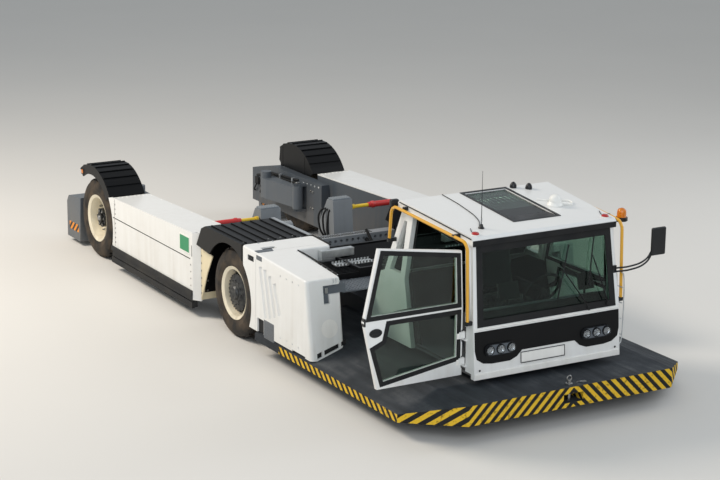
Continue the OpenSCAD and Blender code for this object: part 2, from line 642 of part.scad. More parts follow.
// Half of the roof's width at y
function roof_half(y) = top_half + 20 + (cab_half + 10 - top_half) * (y - roof_y[0] + 10) / (roof_y[1] - roof_y[0] + 20);
module handrails() {
    low = cab_waist + 50;
    color("#e0a93b") pair() {
        swept(rounded([[-rail_x - 30, eave[0] + 125, 1500], [-rail_x - 35, roof_y[1] + 35, roof_rear - 60],
            [-rail_x, roof_y[0] - 10, roof_front - 40], [-rail_x, screen_y + 38, low]], 90), rail_r);
        rod_x(-rail_x, -cab_half - 1, screen_y + 37, low + 12, 12);
        rod_x(-rail_x - 30, -cab_half - seat_gap, eave[0] + 122, 1515, 12);
        for (y = [roof_y[0] + 220, roof_y[1] - 160]) rod_x(-rail_x - 12, -roof_half(y) - seat_gap, y, roof_under(y) + 46, 12);
    }
}

// Left mirror on its double arm
module mirrors() {
    color("#26282a") {
        lean() bar([cab_half - 70, -30, 330], [cab_half - 18, -seat_gap, 410]);
        for (z = [1300, 1335]) swept(rounded([[cab_half - 40, screen_y + 35, z], [cab_half + 180, screen_y - 140, z + 90],
            [cab_half + 300, screen_y - 170, z + 390]], 60), 9);
        bar([cab_half + 215, screen_y - 205, 1480], [cab_half + 385, screen_y - 165, 1760]);
    }
}

// Roof fittings: marker lamps, beacon on its bracket, domes and whip aerial
module on_roof(x, y) translate([x, y, roof_over(y) + seat_gap]) rotate([atan((roof_rear - roof_front) / (roof_y[1] - roof_y[0] - 70)), 0, 0]) children();
beacon = [cab_half + 140, hinge_y + 55];
module roof_fittings() {
    z = roof_under(beacon[1]) + 6;
    color("#b8482e") for (s = [-1, 1]) on_roof(s * 760, roof_y[0] + 80) cylinder(h = 26, r = 40);
    color("#e58a1f") {
        bar([roof_half(beacon[1] + 30) + seat_gap, beacon[1] - 30, z], [beacon[0], beacon[1] + 30, z + 18]);
        translate([beacon[0], beacon[1], z]) { cylinder(h = 40, r = 62); cylinder(h = 130, r = 50); }
    }
    color("#f0f0f0") on_roof(500, roof_y[0] + 560) cylinder(h = 110, r1 = 80, r2 = 30);
    color("#202224") {
        on_roof(-600, roof_y[0] + 220) cylinder(h = 40, r = 30);
        translate([-600, roof_y[0] + 220, roof_over(roof_y[0] + 220) + 30]) cylinder(h = 530, r = 4);
        for (p = [[560, -170], [430, -80]]) on_roof(p[0], roof_y[1] + p[1]) cylinder(h = 60, r = 35);
    }
}

// Door, drawn closed on the right-hand side
door_z = [470, 1140, 1700, 1840]; // underside, waist, top at the hinge, top at the rear
door_outline = [[hinge_y + 12, door_z[0]], [hinge_y + door_l - 150, door_z[0]], [hinge_y + door_l, door_z[1]],
    [hinge_y + door_l - 150, door_z[3] - 15], [hinge_y + 40, door_z[2]], [hinge_y + 12, door_z[1]]];
upper_window = [[hinge_y + 75, door_z[1] + 50], [hinge_y + door_l - 75, door_z[1] + 50],
    [hinge_y + door_l - 205, door_z[3] - 80], [hinge_y + 95, door_z[2] - 60]];
lower_window = [[hinge_y + 75, door_z[0] + 190], [hinge_y + door_l - 215, door_z[0] + 70],
    [hinge_y + door_l - 120, door_z[1] - 280], [hinge_y + door_l - 240, door_z[1] - 230],
    [hinge_y + door_l - 280, door_z[1] - 60], [hinge_y + 75, door_z[1] - 60]];
module door_panel() {
    color("#ececea") {
        difference() {
            across(-cab_half - 10, -cab_half - 10 + door_t, door_outline);
            across(-cab_half - 20, -cab_half + door_t, upper_window);
            across(-cab_half - 20, -cab_half + door_t, lower_window);
            for (z = hinge_zs) rod_z(-hinge_x, hinge_y, z - 60, z + 60, hinge_r + 12);
        }
        for (z = hinge_zs) difference() {
            union() {
                rod_z(-hinge_x, hinge_y, z - 20, z + 40, hinge_r + 9);
                bar([-hinge_x - 6, hinge_y, z - 20], [-hinge_x + 12, hinge_y + 50, z + 40]);
            }
            rod_z(-hinge_x, hinge_y, z - 21, z + 61, hinge_r + running_gap);
        }
    }
}
module door_glass() {
    color("#26302f") for (w = [upper_window, lower_window]) across(-cab_half + 6, -cab_half + 6 + glass_t, w);
}
module swing(a) translate([-hinge_x, hinge_y, 0]) rotate([0, 0, a]) translate([hinge_x, -hinge_y, 0]) children();

// Cradle: a plate with cheeks that lifts the nose wheels, with two stops
cradle_y = arm_front + 330;
cradle_z = 420;
cheek_t = 60;
stop_x = 480;
stop_half = 130;
module cradle() {
    color("#565b60") difference() {
        union() {
            across(-cradle_w / 2, cradle_w / 2, [[cradle_y, cradle_z - 60], [cradle_y + cradle_l, 120],
                [cradle_y + cradle_l, 150], [cradle_y, cradle_z + 60]]);
            rod_x(-cradle_w / 2, cradle_w / 2, cradle_y, cradle_z, 60);
            pair() across(-cradle_w / 2, -cradle_w / 2 + cheek_t, [[cradle_y, cradle_z - 60], [cradle_y + cradle_l, 120],
                [cradle_y + cradle_l, 260], [cradle_y + 400, 560], [cradle_y, cradle_z + 60]]);
            for (s = [-1, 1]) translate([s * stop_x, 0, 0]) difference() {
                across(-stop_half, stop_half, [[cradle_y - 10, cradle_z + 40], [cradle_y + 420, cradle_z - 100],
                    [cradle_y + 380, 700], [cradle_y + 180, 1040], [cradle_y + 40, 1040]]);
                across(-stop_half + 50, stop_half - 50, [[cradle_y + 60, cradle_z + 120], [cradle_y + 330, cradle_z + 90],
                    [cradle_y + 300, 680], [cradle_y + 160, 940], [cradle_y + 80, 940]]);
            }
        }
        rod_x(-cradle_w, cradle_w, cradle_y, cradle_z, cradle_pin_r + running_gap);
    }
}

// Gate arm: it swings in behind the nose wheels on an upright pin
gate_x = rear_wall_in - 85;
gate_y = rear_arch_front + 150;
gate_z = [440, 740];
gate_boss = 66;
module gate() {
    color("#6b7177") difference() {
        union() {
            rod_z(-gate_x, gate_y, gate_z[0] + 1, gate_z[1] - 1, gate_boss);
            upright(gate_z[0] + 20, gate_z[1] - 20, [[-gate_x - 55, gate_y + 10], [-gate_x + 55, gate_y + 10],
                [-gate_x + 150, gate_y + gate_l - 200], [-gate_x + 150, gate_y + gate_l - 60], [-gate_x - 40, gate_y + gate_l - 60]]);
            rod_z(-gate_x + 80, gate_y + gate_l - 70, gate_z[0] + 10, gate_z[1] + 60, 70);
        }
        rod_z(-gate_x, gate_y, gate_z[0] - 10, gate_z[1] + 10, gate_pin_r + running_gap);
    }
}

place() frame();
place() rear_boxes();
place() side_panels();
place() rub_rails();
place() arch_plates();
place() rear_fenders();
place() front_fenders();
place() side_boxes();
place() deck();
place() tow_coupling();
place() engine();
place() top_grille();
place() walkway();
place() cross_beam();
place() front_axle();
place() rear_axles();
place() cab_floor();
place() cab_front();
place() cab_roof();
place() cab_rear();
place() cab_glass();
place() dashboard();
place() seat();
place() headlamps();
place() handrails();
place() mirrors();
place() roof_fittings();
place() swing(door_open) door_panel();  // door_right
place() swing(door_open) door_glass();  // door_right_glass
place() mirror([1, 0, 0]) door_panel();  // door_left
place() mirror([1, 0, 0]) door_glass();  // door_left_glass
place() knuckle();  // knuckle_right
place() mirror([1, 0, 0]) knuckle();  // knuckle_left
place() hub();  // hub_right
place() mirror([1, 0, 0]) hub();  // hub_left
place() tyre(0);  // tyre_front_right
place() mirror([1, 0, 0]) tyre(0);  // tyre_front_left
place() tyre(wheelbase);  // tyre_rear_right
place() mirror([1, 0, 0]) tyre(wheelbase);  // tyre_rear_left
place() rim(0, front_disc);  // rim_front_right
place() mirror([1, 0, 0]) rim(0, front_disc);  // rim_front_left
place() rim(wheelbase, rear_disc);  // rim_rear_right
place() mirror([1, 0, 0]) rim(wheelbase, rear_disc);  // rim_rear_left
place() cradle();
place() gate();  // gate_right
place() mirror([1, 0, 0]) gate();  // gate_left
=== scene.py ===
"""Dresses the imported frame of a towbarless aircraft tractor: paint, rubber, glass, lamps and small fittings."""

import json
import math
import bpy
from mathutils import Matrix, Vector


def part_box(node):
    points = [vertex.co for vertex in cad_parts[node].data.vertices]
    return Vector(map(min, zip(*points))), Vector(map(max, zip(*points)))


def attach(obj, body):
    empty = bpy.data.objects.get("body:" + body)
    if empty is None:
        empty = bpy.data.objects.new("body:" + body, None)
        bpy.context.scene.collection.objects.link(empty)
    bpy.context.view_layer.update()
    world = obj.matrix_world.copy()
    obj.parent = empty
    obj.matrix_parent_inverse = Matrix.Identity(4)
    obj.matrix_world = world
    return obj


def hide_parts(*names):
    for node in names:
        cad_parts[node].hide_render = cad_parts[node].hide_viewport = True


bl_info = {
    "name": "Aircraft Pushback Tractor",
    "version": (1, 0, 0),
    "blender": (4, 5, 0),
    "location": "View3D > Sidebar > Tractor",
    "description": "Finishes a towbarless aircraft tractor: enamel, tyres, lamps, cab trim and studio",
    "category": "Object",
}

import bmesh
import bpy
from bpy.props import FloatProperty, FloatVectorProperty, IntProperty, PointerProperty
from mathutils import Matrix, Vector

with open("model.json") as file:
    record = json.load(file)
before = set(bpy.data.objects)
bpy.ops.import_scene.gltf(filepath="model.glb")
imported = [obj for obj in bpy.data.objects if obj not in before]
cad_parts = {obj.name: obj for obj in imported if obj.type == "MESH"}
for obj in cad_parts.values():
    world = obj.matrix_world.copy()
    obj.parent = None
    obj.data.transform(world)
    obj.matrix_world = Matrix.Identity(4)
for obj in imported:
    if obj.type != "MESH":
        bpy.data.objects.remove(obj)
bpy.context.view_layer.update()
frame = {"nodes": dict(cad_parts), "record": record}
NODES = frame["nodes"]
JOINTS = {j["name"]: j for j in frame["record"]["behaviour"]["joints"]}


def middle(node, axis):
    """Middle of a CAD node's box along one axis."""
    low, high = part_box(node)
    return (low[axis] + high[axis]) / 2


# The tractor's own zero: its middle plane, its front axle and the ground
MID = middle("deck", 0)
AXLE = middle("tyre_front_right", 1)
HUB_Z = middle("tyre_front_right", 2)
REAR = middle("tyre_rear_right", 1) - AXLE
WHEEL_X = MID - middle("tyre_front_right", 0)
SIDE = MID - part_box("side_boxes")[0][0]
DECK_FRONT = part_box("deck")[0][1] - AXLE
CAB_HALF = (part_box("cab_rear")[1][0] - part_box("cab_rear")[0][0]) / 2
CAB_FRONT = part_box("cab_front")[0][1] - AXLE
CAB_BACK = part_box("cab_rear")[1][1] - AXLE
ROOF_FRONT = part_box("cab_roof")[0][1] - AXLE
ROOF_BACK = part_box("cab_roof")[1][1] - AXLE
CHASSIS = "chassis"


def at(x, y, z):
    """A point given from the middle plane, the front axle and the ground, in metres."""
    return Vector((MID + x, AXLE + y, z))


# Materials


def linear(code):
    """Turns an sRGB hex colour into linear RGBA."""
    parts = [int(code[i:i + 2], 16) / 255 for i in (0, 2, 4)]
    return tuple(c / 12.92 if c <= 0.04045 else ((c + 0.055) / 1.055) ** 2.4 for c in parts) + (1.0,)


def tone(value):
    """A colour from a hex code, or a grey from a number."""
    return linear(value) if isinstance(value, str) else (value, value, value, 1.0)


def add(tree, kind, feeds=(), out=0, into=None, stops=(), **settings):
    """Adds a node with its settings and ramp stops, fills or links its inputs and returns one of its outputs."""
    made = tree.nodes.new(kind)
    for key, value in settings.items():
        setattr(made, key, value)
    for key, value in dict(feeds).items():
        if isinstance(value, bpy.types.NodeSocket):
            tree.links.new(value, made.inputs[key])
        else:
            made.inputs[key].default_value = value
    for i, (place, colour) in enumerate(stops):
        stop = made.color_ramp.elements[i] if i < 2 else made.color_ramp.elements.new(place)
        stop.position = place
        stop.color = tone(colour)
    if into:
        tree.links.new(made.outputs[out], into)
    return made.outputs[out]


PALETTE = {}


def start(name, **constants):
    """Starts a material and returns it, its tree, its shader's sockets and the object coordinates."""
    made = PALETTE[name] = bpy.data.materials.new(name)
    made.use_nodes = True
    shader = made.node_tree.nodes["Principled BSDF"].inputs
    for key, value in constants.items():
        shader[key.replace("_", " ")].default_value = value
    return made, made.node_tree, shader, add(made.node_tree, "ShaderNodeTexCoord", out="Object")


def enamel(name, colour, dust, rough, dirt, top, coat, peel):
    """Sprayed paint: even colour, a slight orange peel, road film that thickens towards the ground, faint rain streaks."""
    made, tree, shader, coords = start(name, Coat_Weight=coat, Coat_Roughness=0.12, Specular_IOR_Level=0.5 if coat else 0.22)
    height = add(tree, "ShaderNodeSeparateXYZ", {"Vector": coords}, out="Z")
    low = add(tree, "ShaderNodeMapRange", {"Value": height, "From Min": 0.15, "From Max": top, "To Min": 1.0, "To Max": 0.12})
    patches = add(tree, "ShaderNodeTexNoise", {"Vector": coords, "Scale": 1 / 0.6, "Detail": 7.0, "Roughness": 0.6})
    long = add(tree, "ShaderNodeMapping", {"Vector": coords, "Scale": Vector((1, 1, 0.1))})
    streaks = add(tree, "ShaderNodeTexNoise", {"Vector": long, "Scale": 1 / 0.09, "Detail": 5.0})
    film = add(tree, "ShaderNodeMath", {0: patches, 1: streaks}, operation="MULTIPLY")
    film = add(tree, "ShaderNodeMapRange", {"Value": film, "From Min": 0.15, "From Max": 0.45})
    film = add(tree, "ShaderNodeMath", {0: film, 1: low}, operation="MULTIPLY")
    film = add(tree, "ShaderNodeMath", {0: film, 1: dirt}, operation="MULTIPLY")
    add(tree, "ShaderNodeMix", {0: film, 6: linear(colour), 7: linear(dust)}, out=2, into=shader["Base Color"], data_type="RGBA")
    add(tree, "ShaderNodeMapRange", {"Value": film, "To Min": rough, "To Max": min(1.0, rough + 0.35)}, into=shader["Roughness"])
    skin = add(tree, "ShaderNodeTexNoise", {"Vector": coords, "Scale": 1 / 0.006, "Detail": 2.0})
    add(tree, "ShaderNodeBump", {"Height": skin, "Distance": peel, "Strength": 0.4}, into=shader["Normal"])


# name, colour, film, roughness, film's strength, height where it thins out, clear coat, peel depth in metres
PAINTS = (
    ("body_enamel", "E6E7E5", "B3AB9C", 0.30, 0.42, 1.2, 0.35, 0.0003),
    ("frame_enamel", "3F474F", "85796A", 0.48, 0.45, 0.9, 0.05, 0.0008),
    ("tail_enamel", "596067", "8A8072", 0.50, 0.45, 0.9, 0.05, 0.0008),
    ("fender_enamel", "07080A", "262523", 0.40, 0.14, 1.5, 0.0, 0.0006),
    ("arch_enamel", "E3D6B4", "94866B", 0.45, 0.50, 0.9, 0.05, 0.0006),
    ("rim_enamel", "EBE2CA", "8E8069", 0.38, 0.60, 0.9, 0.15, 0.0005),
    ("rail_enamel", "E0A62F", "9B7D3C", 0.34, 0.30, 2.4, 0.25, 0.0003),
    ("lamp_housing", "17191C", "3A3935", 0.45, 0.20, 1.5, 0.0, 0.0004),
    ("engine_enamel", "45494C", "3E3B36", 0.55, 0.70, 1.2, 0.0, 0.0010),
    ("bay_enamel", "868B8F", "5D5850", 0.50, 0.55, 1.3, 0.05, 0.0008),
    ("signal_red", "C22B2A", "6E3A33", 0.36, 0.30, 1.4, 0.25, 0.0003),
    ("signal_yellow", "E9C22B", "8E7A3A", 0.36, 0.30, 1.4, 0.25, 0.0003),
    ("notice_green", "1C8B5A", "6E8A74", 0.45, 0.30, 1.3, 0.05, 0.0002),
    ("plate_white", "F0EFEA", "A8A294", 0.42, 0.35, 1.2, 0.05, 0.0002),
    ("step_grey", "7D848A", "6A6458", 0.50, 0.45, 1.0, 0.05, 0.0005),
)


def metal(name, dark, pale, gloss, grain, depth):
    """Bare metal: a colour and a gloss that vary over its grain, and the grain's own relief."""
    made, tree, shader, coords = start(name, Metallic=1.0)
    patches = add(tree, "ShaderNodeTexNoise", {"Vector": coords, "Scale": 1 / (grain * 14), "Detail": 6.0})
    fine = add(tree, "ShaderNodeTexNoise", {"Vector": coords, "Scale": 1 / grain, "Detail": 3.0})
    add(tree, "ShaderNodeValToRGB", {"Fac": patches}, into=shader["Base Color"], stops=((0.3, dark), (0.7, pale)))
    add(tree, "ShaderNodeValToRGB", {"Fac": patches}, into=shader["Roughness"], stops=((0.3, gloss + 0.16), (0.7, gloss)))
    add(tree, "ShaderNodeBump", {"Height": fine, "Distance": depth, "Strength": 0.6}, into=shader["Normal"])
    return made


# name, dark and pale colour, roughness where clean, grain in metres, grain's depth
METALS = (
    # cast hub housings: dark, sandy and oily in patches
    ("cast_iron", "35373A", "5A5B5B", 0.38, 0.004, 0.0015),
    # turned pins, zinc-plated bolts: bright with a faint brown film
    ("bare_steel", "8E8A84", "B4B6B7", 0.26, 0.0015, 0.0003),
    # galvanised brackets: spangles about 8 mm across, pale and half dull
    ("galvanised_steel", "B3B7B9", "E4E7E8", 0.36, 0.008, 0.0003),
    # pressed reflectors and bezels: vacuum-plated, nearly a mirror
    ("plated_chrome", "B9BCC0", "E2E4E6", 0.08, 0.02, 0.0001),
)


def anti_slip():
    """Deck coating: anthracite resin with 2 mm grit, drawn 5 mm coarse to show, scuffed paler by boots and tyres.
    Its upright edges carry the yellow and black warning bands, which climb towards the middle."""
    made, tree, shader, coords = start("anti_slip", Specular_IOR_Level=0.35)
    place = coords.node.outputs["Object"]
    split = add(tree, "ShaderNodeSeparateXYZ", {"Vector": place}).node.outputs
    grit = add(tree, "ShaderNodeTexVoronoi", {"Vector": coords, "Scale": 1 / 0.005})
    scuff = add(tree, "ShaderNodeTexNoise", {"Vector": coords, "Scale": 1 / 0.45, "Detail": 8.0, "Roughness": 0.65})
    long = add(tree, "ShaderNodeMapping", {"Vector": coords, "Scale": Vector((1, 0.12, 1))})
    tracks = add(tree, "ShaderNodeTexNoise", {"Vector": long, "Scale": 1 / 0.11, "Detail": 5.0})
    worn = add(tree, "ShaderNodeMath", {0: scuff, 1: tracks}, operation="MULTIPLY")
    deck = add(tree, "ShaderNodeValToRGB", {"Fac": worn}, stops=((0.12, "22262A"), (0.28, "30353A"), (0.45, "4D5052")))
    size = bpy.context.scene.tractor.stripe_width
    across = add(tree, "ShaderNodeMath", {0: split["X"], 1: MID}, operation="SUBTRACT")
    across = add(tree, "ShaderNodeMath", {0: across}, operation="ABSOLUTE")
    facing = add(tree, "ShaderNodeNewGeometry", out="True Normal")
    facing = add(tree, "ShaderNodeSeparateXYZ", {"Vector": facing}).node.outputs
    flank = add(tree, "ShaderNodeMath", {0: facing["X"]}, operation="ABSOLUTE")
    flank = add(tree, "ShaderNodeMath", {0: flank, 1: 0.9}, operation="GREATER_THAN")
    back = add(tree, "ShaderNodeMath", {0: split["Y"], 1: -1.0}, operation="MULTIPLY")
    run = add(tree, "ShaderNodeMix", {0: flank, 2: across, 3: back})
    climb = add(tree, "ShaderNodeMath", {0: run, 1: split["Z"]}, operation="ADD")
    wave = add(tree, "ShaderNodeMath", {0: climb, 1: 2 * size, 2: 0.0}, operation="WRAP")
    band = add(tree, "ShaderNodeMath", {0: wave, 1: size}, operation="GREATER_THAN")
    paint = add(tree, "ShaderNodeValToRGB", {"Fac": band}, stops=((0.0, "191A1C"), (1.0, "E0B62C")))
    chips = add(tree, "ShaderNodeTexNoise", {"Vector": coords, "Scale": 1 / 0.03, "Detail": 6.0})
    chips = add(tree, "ShaderNodeValToRGB", {"Fac": chips}, stops=((0.27, "8A8578"), (0.45, "FFFFFF")))
    paint = add(tree, "ShaderNodeMix", {0: 1.0, 6: paint, 7: chips}, out=2, data_type="RGBA", blend_type="MULTIPLY")
    upright = add(tree, "ShaderNodeMath", {0: facing["Z"]}, operation="ABSOLUTE")
    upright = add(tree, "ShaderNodeMath", {0: upright, 1: 0.5}, operation="LESS_THAN")
    ahead = add(tree, "ShaderNodeMath", {0: split["Y"], 1: AXLE - 1.2}, operation="LESS_THAN")
    edge = add(tree, "ShaderNodeMath", {0: upright, 1: ahead}, operation="MULTIPLY")
    add(tree, "ShaderNodeMix", {0: edge, 6: deck, 7: paint}, out=2, into=shader["Base Color"], data_type="RGBA")
    add(tree, "ShaderNodeValToRGB", {"Fac": worn}, into=shader["Roughness"], stops=((0.12, 0.85), (0.45, 0.6)))
    add(tree, "ShaderNodeBump", {"Height": grit, "Distance": 0.002, "Strength": 0.7}, into=shader["Normal"])
    return made


def moulded_rubber(name, colour, dust, low, high):
    """Moulded black rubber: matt, with grey-brown dust in patches and a fine skin."""
    made, tree, shader, coords = start(name, Specular_IOR_Level=0.3)
    patches = add(tree, "ShaderNodeTexNoise", {"Vector": coords, "Scale": 1 / 0.16, "Detail": 7.0})
    add(tree, "ShaderNodeValToRGB", {"Fac": patches}, into=shader["Base Color"], stops=((low, colour), (high, dust)))
    add(tree, "ShaderNodeValToRGB", {"Fac": patches}, into=shader["Roughness"], stops=((0.3, 0.55), (0.7, 0.82)))
    skin = add(tree, "ShaderNodeTexNoise", {"Vector": coords, "Scale": 1 / 0.004})
    add(tree, "ShaderNodeBump", {"Height": skin, "Distance": 0.0008, "Strength": 0.6}, into=shader["Normal"])
    return made


def tinted_glass():
    """Green tinted safety glass: float glass, smooth and clear, with a thin uneven film of dust that dulls it."""
    made, tree, shader, coords = start("tinted_glass", Transmission_Weight=1.0, IOR=1.45, Roughness=0.01)
    film = add(tree, "ShaderNodeTexNoise", {"Vector": coords, "Scale": 1 / 0.35, "Detail": 6.0})
    add(tree, "ShaderNodeValToRGB", {"Fac": film}, into=shader["Base Color"], stops=((0.3, "93ADA1"), (0.75, "A9BFB4")))
    return made


def grained_plastic(name, dark, pale, rough):
    """Moulded ABS: a leather-like grain of about 2 mm, slightly paler where hands rub it."""
    made, tree, shader, coords = start(name, Specular_IOR_Level=0.4)
    rub = add(tree, "ShaderNodeTexNoise", {"Vector": coords, "Scale": 1 / 0.2})
    add(tree, "ShaderNodeValToRGB", {"Fac": rub}, into=shader["Base Color"], stops=((0.3, dark), (0.7, pale)))
    add(tree, "ShaderNodeValToRGB", {"Fac": rub}, into=shader["Roughness"], stops=((0.3, rough), (0.7, rough - 0.12)))
    cells = add(tree, "ShaderNodeTexVoronoi", {"Vector": coords, "Scale": 1 / 0.0022})
    add(tree, "ShaderNodeBump", {"Height": cells, "Distance": 0.0006, "Strength": 0.6}, into=shader["Normal"])
    return made


def seat_cloth():
    """Woven seat cloth: charcoal, threads about 1 mm apart drawn at 4 mm to show, with a soft sheen."""
    made, tree, shader, coords = start("seat_cloth", Sheen_Weight=0.35, Sheen_Roughness=0.5, Roughness=0.92)
    warp, weft = [add(tree, "ShaderNodeTexWave", {"Vector": coords, "Scale": 0.314 / 0.004, "Distortion": 0.6},
                      out="Fac", bands_direction=d) for d in ("X", "Z")]
    height = add(tree, "ShaderNodeMath", {0: warp, 1: weft}, operation="MULTIPLY")
    add(tree, "ShaderNodeValToRGB", {"Fac": height}, into=shader["Base Color"], stops=((0.0, "1F2125"), (1.0, "41454C")))
    add(tree, "ShaderNodeBump", {"Height": height, "Distance": 0.0015, "Strength": 0.8}, into=shader["Normal"])
    return made


def lamp_lens(name, colour, bright, clear):
    """Moulded acrylic lens in one colour, with fine upright flutes about 6 mm apart."""
    made, tree, shader, coords = start(name, Roughness=0.07, IOR=1.49, Transmission_Weight=clear, Coat_Weight=0.4)
    flutes = add(tree, "ShaderNodeTexWave", {"Vector": coords, "Scale": 0.314 / 0.006}, out="Fac", bands_direction="X")
    add(tree, "ShaderNodeValToRGB", {"Fac": flutes}, into=shader["Base Color"], stops=((0.0, colour), (1.0, bright)))
    add(tree, "ShaderNodeBump", {"Height": flutes, "Distance": 0.001, "Strength": 0.6}, into=shader["Normal"])
    return made


def mirror_glass():
    """Silvered mirror glass: bright and sharp, with a few dry water marks."""
    made, tree, shader, coords = start("mirror_glass", Metallic=1.0, Base_Color=linear("D5DADC"))
    marks = add(tree, "ShaderNodeTexNoise", {"Vector": coords, "Scale": 1 / 0.02, "Detail": 4.0})
    add(tree, "ShaderNodeValToRGB", {"Fac": marks}, into=shader["Roughness"], stops=((0.55, 0.03), (0.75, 0.18)))
    return made


def warning_bands():
    """Tail boxes: the grey enamel with a low patch of slanted orange and black reflective bands, 55 mm wide."""
    made = PALETTE["tail_bands"] = PALETTE["tail_enamel"].copy()
    made.name = "tail_bands"
    tree = made.node_tree
    colour = tree.nodes["Principled BSDF"].inputs["Base Color"]
    coords = next(n for n in tree.nodes if n.bl_idname == "ShaderNodeTexCoord").outputs["Object"]
    place = add(tree, "ShaderNodeSeparateXYZ", {"Vector": coords}).node.outputs
    slope = add(tree, "ShaderNodeMath", {0: place["Y"], 1: place["Z"]}, operation="ADD")
    wave = add(tree, "ShaderNodeMath", {0: slope, 1: 0.11, 2: 0.0}, operation="WRAP")
    band = add(tree, "ShaderNodeMath", {0: wave, 1: 0.055}, operation="GREATER_THAN")
    paint = add(tree, "ShaderNodeValToRGB", {"Fac": band}, stops=((0.0, "232426"), (1.0, "E58E22")))
    facing = add(tree, "ShaderNodeNewGeometry", out="True Normal")
    mask = add(tree, "ShaderNodeSeparateXYZ", {"Vector": facing}, out="X")
    mask = add(tree, "ShaderNodeMath", {0: mask}, operation="ABSOLUTE")
    for axis, test, limit in (("Z", "GREATER_THAN", 0.17), ("Z", "LESS_THAN", 0.27),
                              ("Y", "GREATER_THAN", AXLE + 4.42), ("Y", "LESS_THAN", AXLE + 4.73)):
        inside = add(tree, "ShaderNodeMath", {0: place[axis], 1: limit}, operation=test)
        mask = add(tree, "ShaderNodeMath", {0: mask, 1: inside}, operation="MULTIPLY")
    add(tree, "ShaderNodeMix", {0: mask, 6: colour.links[0].from_socket, 7: paint}, out=2, into=colour, data_type="RGBA")
    return made


def prepare_materials():
    """Makes every material once."""
    for row in PAINTS:
        enamel(*row)
    for row in METALS:
        metal(*row)
    anti_slip()
    tinted_glass()
    seat_cloth()
    mirror_glass()
    warning_bands()
    moulded_rubber("trim_rubber", "141517", "2B2B2A", 0.35, 0.85)
    moulded_rubber("tyre_rubber", "1E1C1A", "53483C", 0.38, 0.70)
    moulded_rubber("rail_rubber", "1A1C1F", "3F3E3B", 0.35, 0.80)
    grained_plastic("cabin_plastic", "1E2023", "2C2F33", 0.62)
    grained_plastic("black_plastic", "121315", "1D1F21", 0.42)
    grained_plastic("white_plastic", "E7E7E2", "F1F1EC", 0.40)
    lamp_lens("amber_lens", "D8700A", "FF9E1C", 0.30)
    lamp_lens("red_lens", "A31214", "D8302A", 0.25)
    lamp_lens("clear_lens", "D8DDE0", "F2F5F6", 0.90)


# CAD node, material
CAD_FINISH = {
    "frame": "frame_enamel", "rear_boxes": "tail_bands", "side_panels": "body_enamel", "rub_rails": "rail_rubber",
    "arch_plates": "arch_enamel", "rear_fenders": "fender_enamel", "front_fenders": "fender_enamel",
    "side_boxes": "body_enamel", "deck": "anti_slip", "tow_coupling": "bare_steel", "engine": "engine_enamel",
    "top_grille": "fender_enamel", "walkway": "galvanised_steel", "cross_beam": "bay_enamel", "front_axle": "frame_enamel",
    "rear_axles": "cast_iron", "cab_floor": "frame_enamel", "cab_front": "body_enamel", "cab_roof": "body_enamel",
    "cab_rear": "body_enamel", "cab_glass": "tinted_glass", "dashboard": "cabin_plastic", "seat": "cabin_plastic",
    "headlamps": "plated_chrome", "handrails": "rail_enamel", "mirrors": "black_plastic", "roof_fittings": "black_plastic",
    "door_right": "body_enamel", "door_right_glass": "tinted_glass", "door_left": "body_enamel",
    "door_left_glass": "tinted_glass", "knuckle_right": "frame_enamel", "knuckle_left": "frame_enamel",
    "hub_right": "cast_iron", "hub_left": "cast_iron", "rim_front_right": "rim_enamel", "rim_front_left": "rim_enamel",
    "rim_rear_right": "rim_enamel", "rim_rear_left": "rim_enamel", "cradle": "bay_enamel",
    "gate_right": "tail_enamel", "gate_left": "tail_enamel", "tyre_front_right": "tyre_rubber",
    "tyre_front_left": "tyre_rubber", "tyre_rear_right": "tyre_rubber", "tyre_rear_left": "tyre_rubber",
}

# Shapes


def keep(bm, name, material, body=CHASSIS, angle=35):
    """Makes the piece's object from its bmesh, smooth up to an angle, and sets what it rides on."""
    bmesh.ops.recalc_face_normals(bm, faces=bm.faces)
    mesh = bpy.data.meshes.new(name)
    bm.to_mesh(mesh)
    bm.free()
    mesh.materials.append(PALETTE[material])
    mesh.shade_smooth()
    mesh.set_sharp_from_angle(angle=math.radians(angle))
    piece = bpy.data.objects.new(name, mesh)
    bpy.context.scene.collection.objects.link(piece)
    # flat faces keep flat shading beside their rounded edges
    even = piece.modifiers.new("even", "WEIGHTED_NORMAL")
    even.keep_sharp = True
    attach(piece, body)
    return piece


def edge_round(bm, verts, width, segments=2):
    """Bevels every edge of the given vertices."""
    edges = list({e for v in verts for e in v.link_edges})
    bmesh.ops.bevel(bm, geom=edges, offset=width, offset_type="OFFSET", segments=segments, profile=0.5,
                    affect="EDGES", material=-1, clamp_overlap=True)


def block(bm, a, b, width=0.003, turn=None, segments=2):
    """A box between two corners with rounded edges, turned about its middle if a matrix is given."""
    size = Vector(abs(p - q) for p, q in zip(a, b))
    verts = bmesh.ops.create_cube(bm, size=1.0)["verts"]
    bmesh.ops.scale(bm, vec=size, verts=verts)
    if turn:
        bmesh.ops.transform(bm, matrix=turn, verts=verts)
    bmesh.ops.translate(bm, vec=(Vector(a) + Vector(b)) / 2, verts=verts)
    if width:
        edge_round(bm, verts, width, segments)


def rod(bm, a, b, radius, sides=16, tip=None, width=0.0):
    """A round or many-sided bar from a to b."""
    a, b = Vector(a), Vector(b)
    turn = (b - a).to_track_quat("Z", "Y").to_matrix().to_4x4()
    made = bmesh.ops.create_cone(bm, cap_ends=True, segments=sides, radius1=radius, radius2=radius if tip is None else tip,
                                 depth=(b - a).length, matrix=Matrix.Translation((a + b) / 2) @ turn)
    if width:
        edge_round(bm, made["verts"], width, 1)


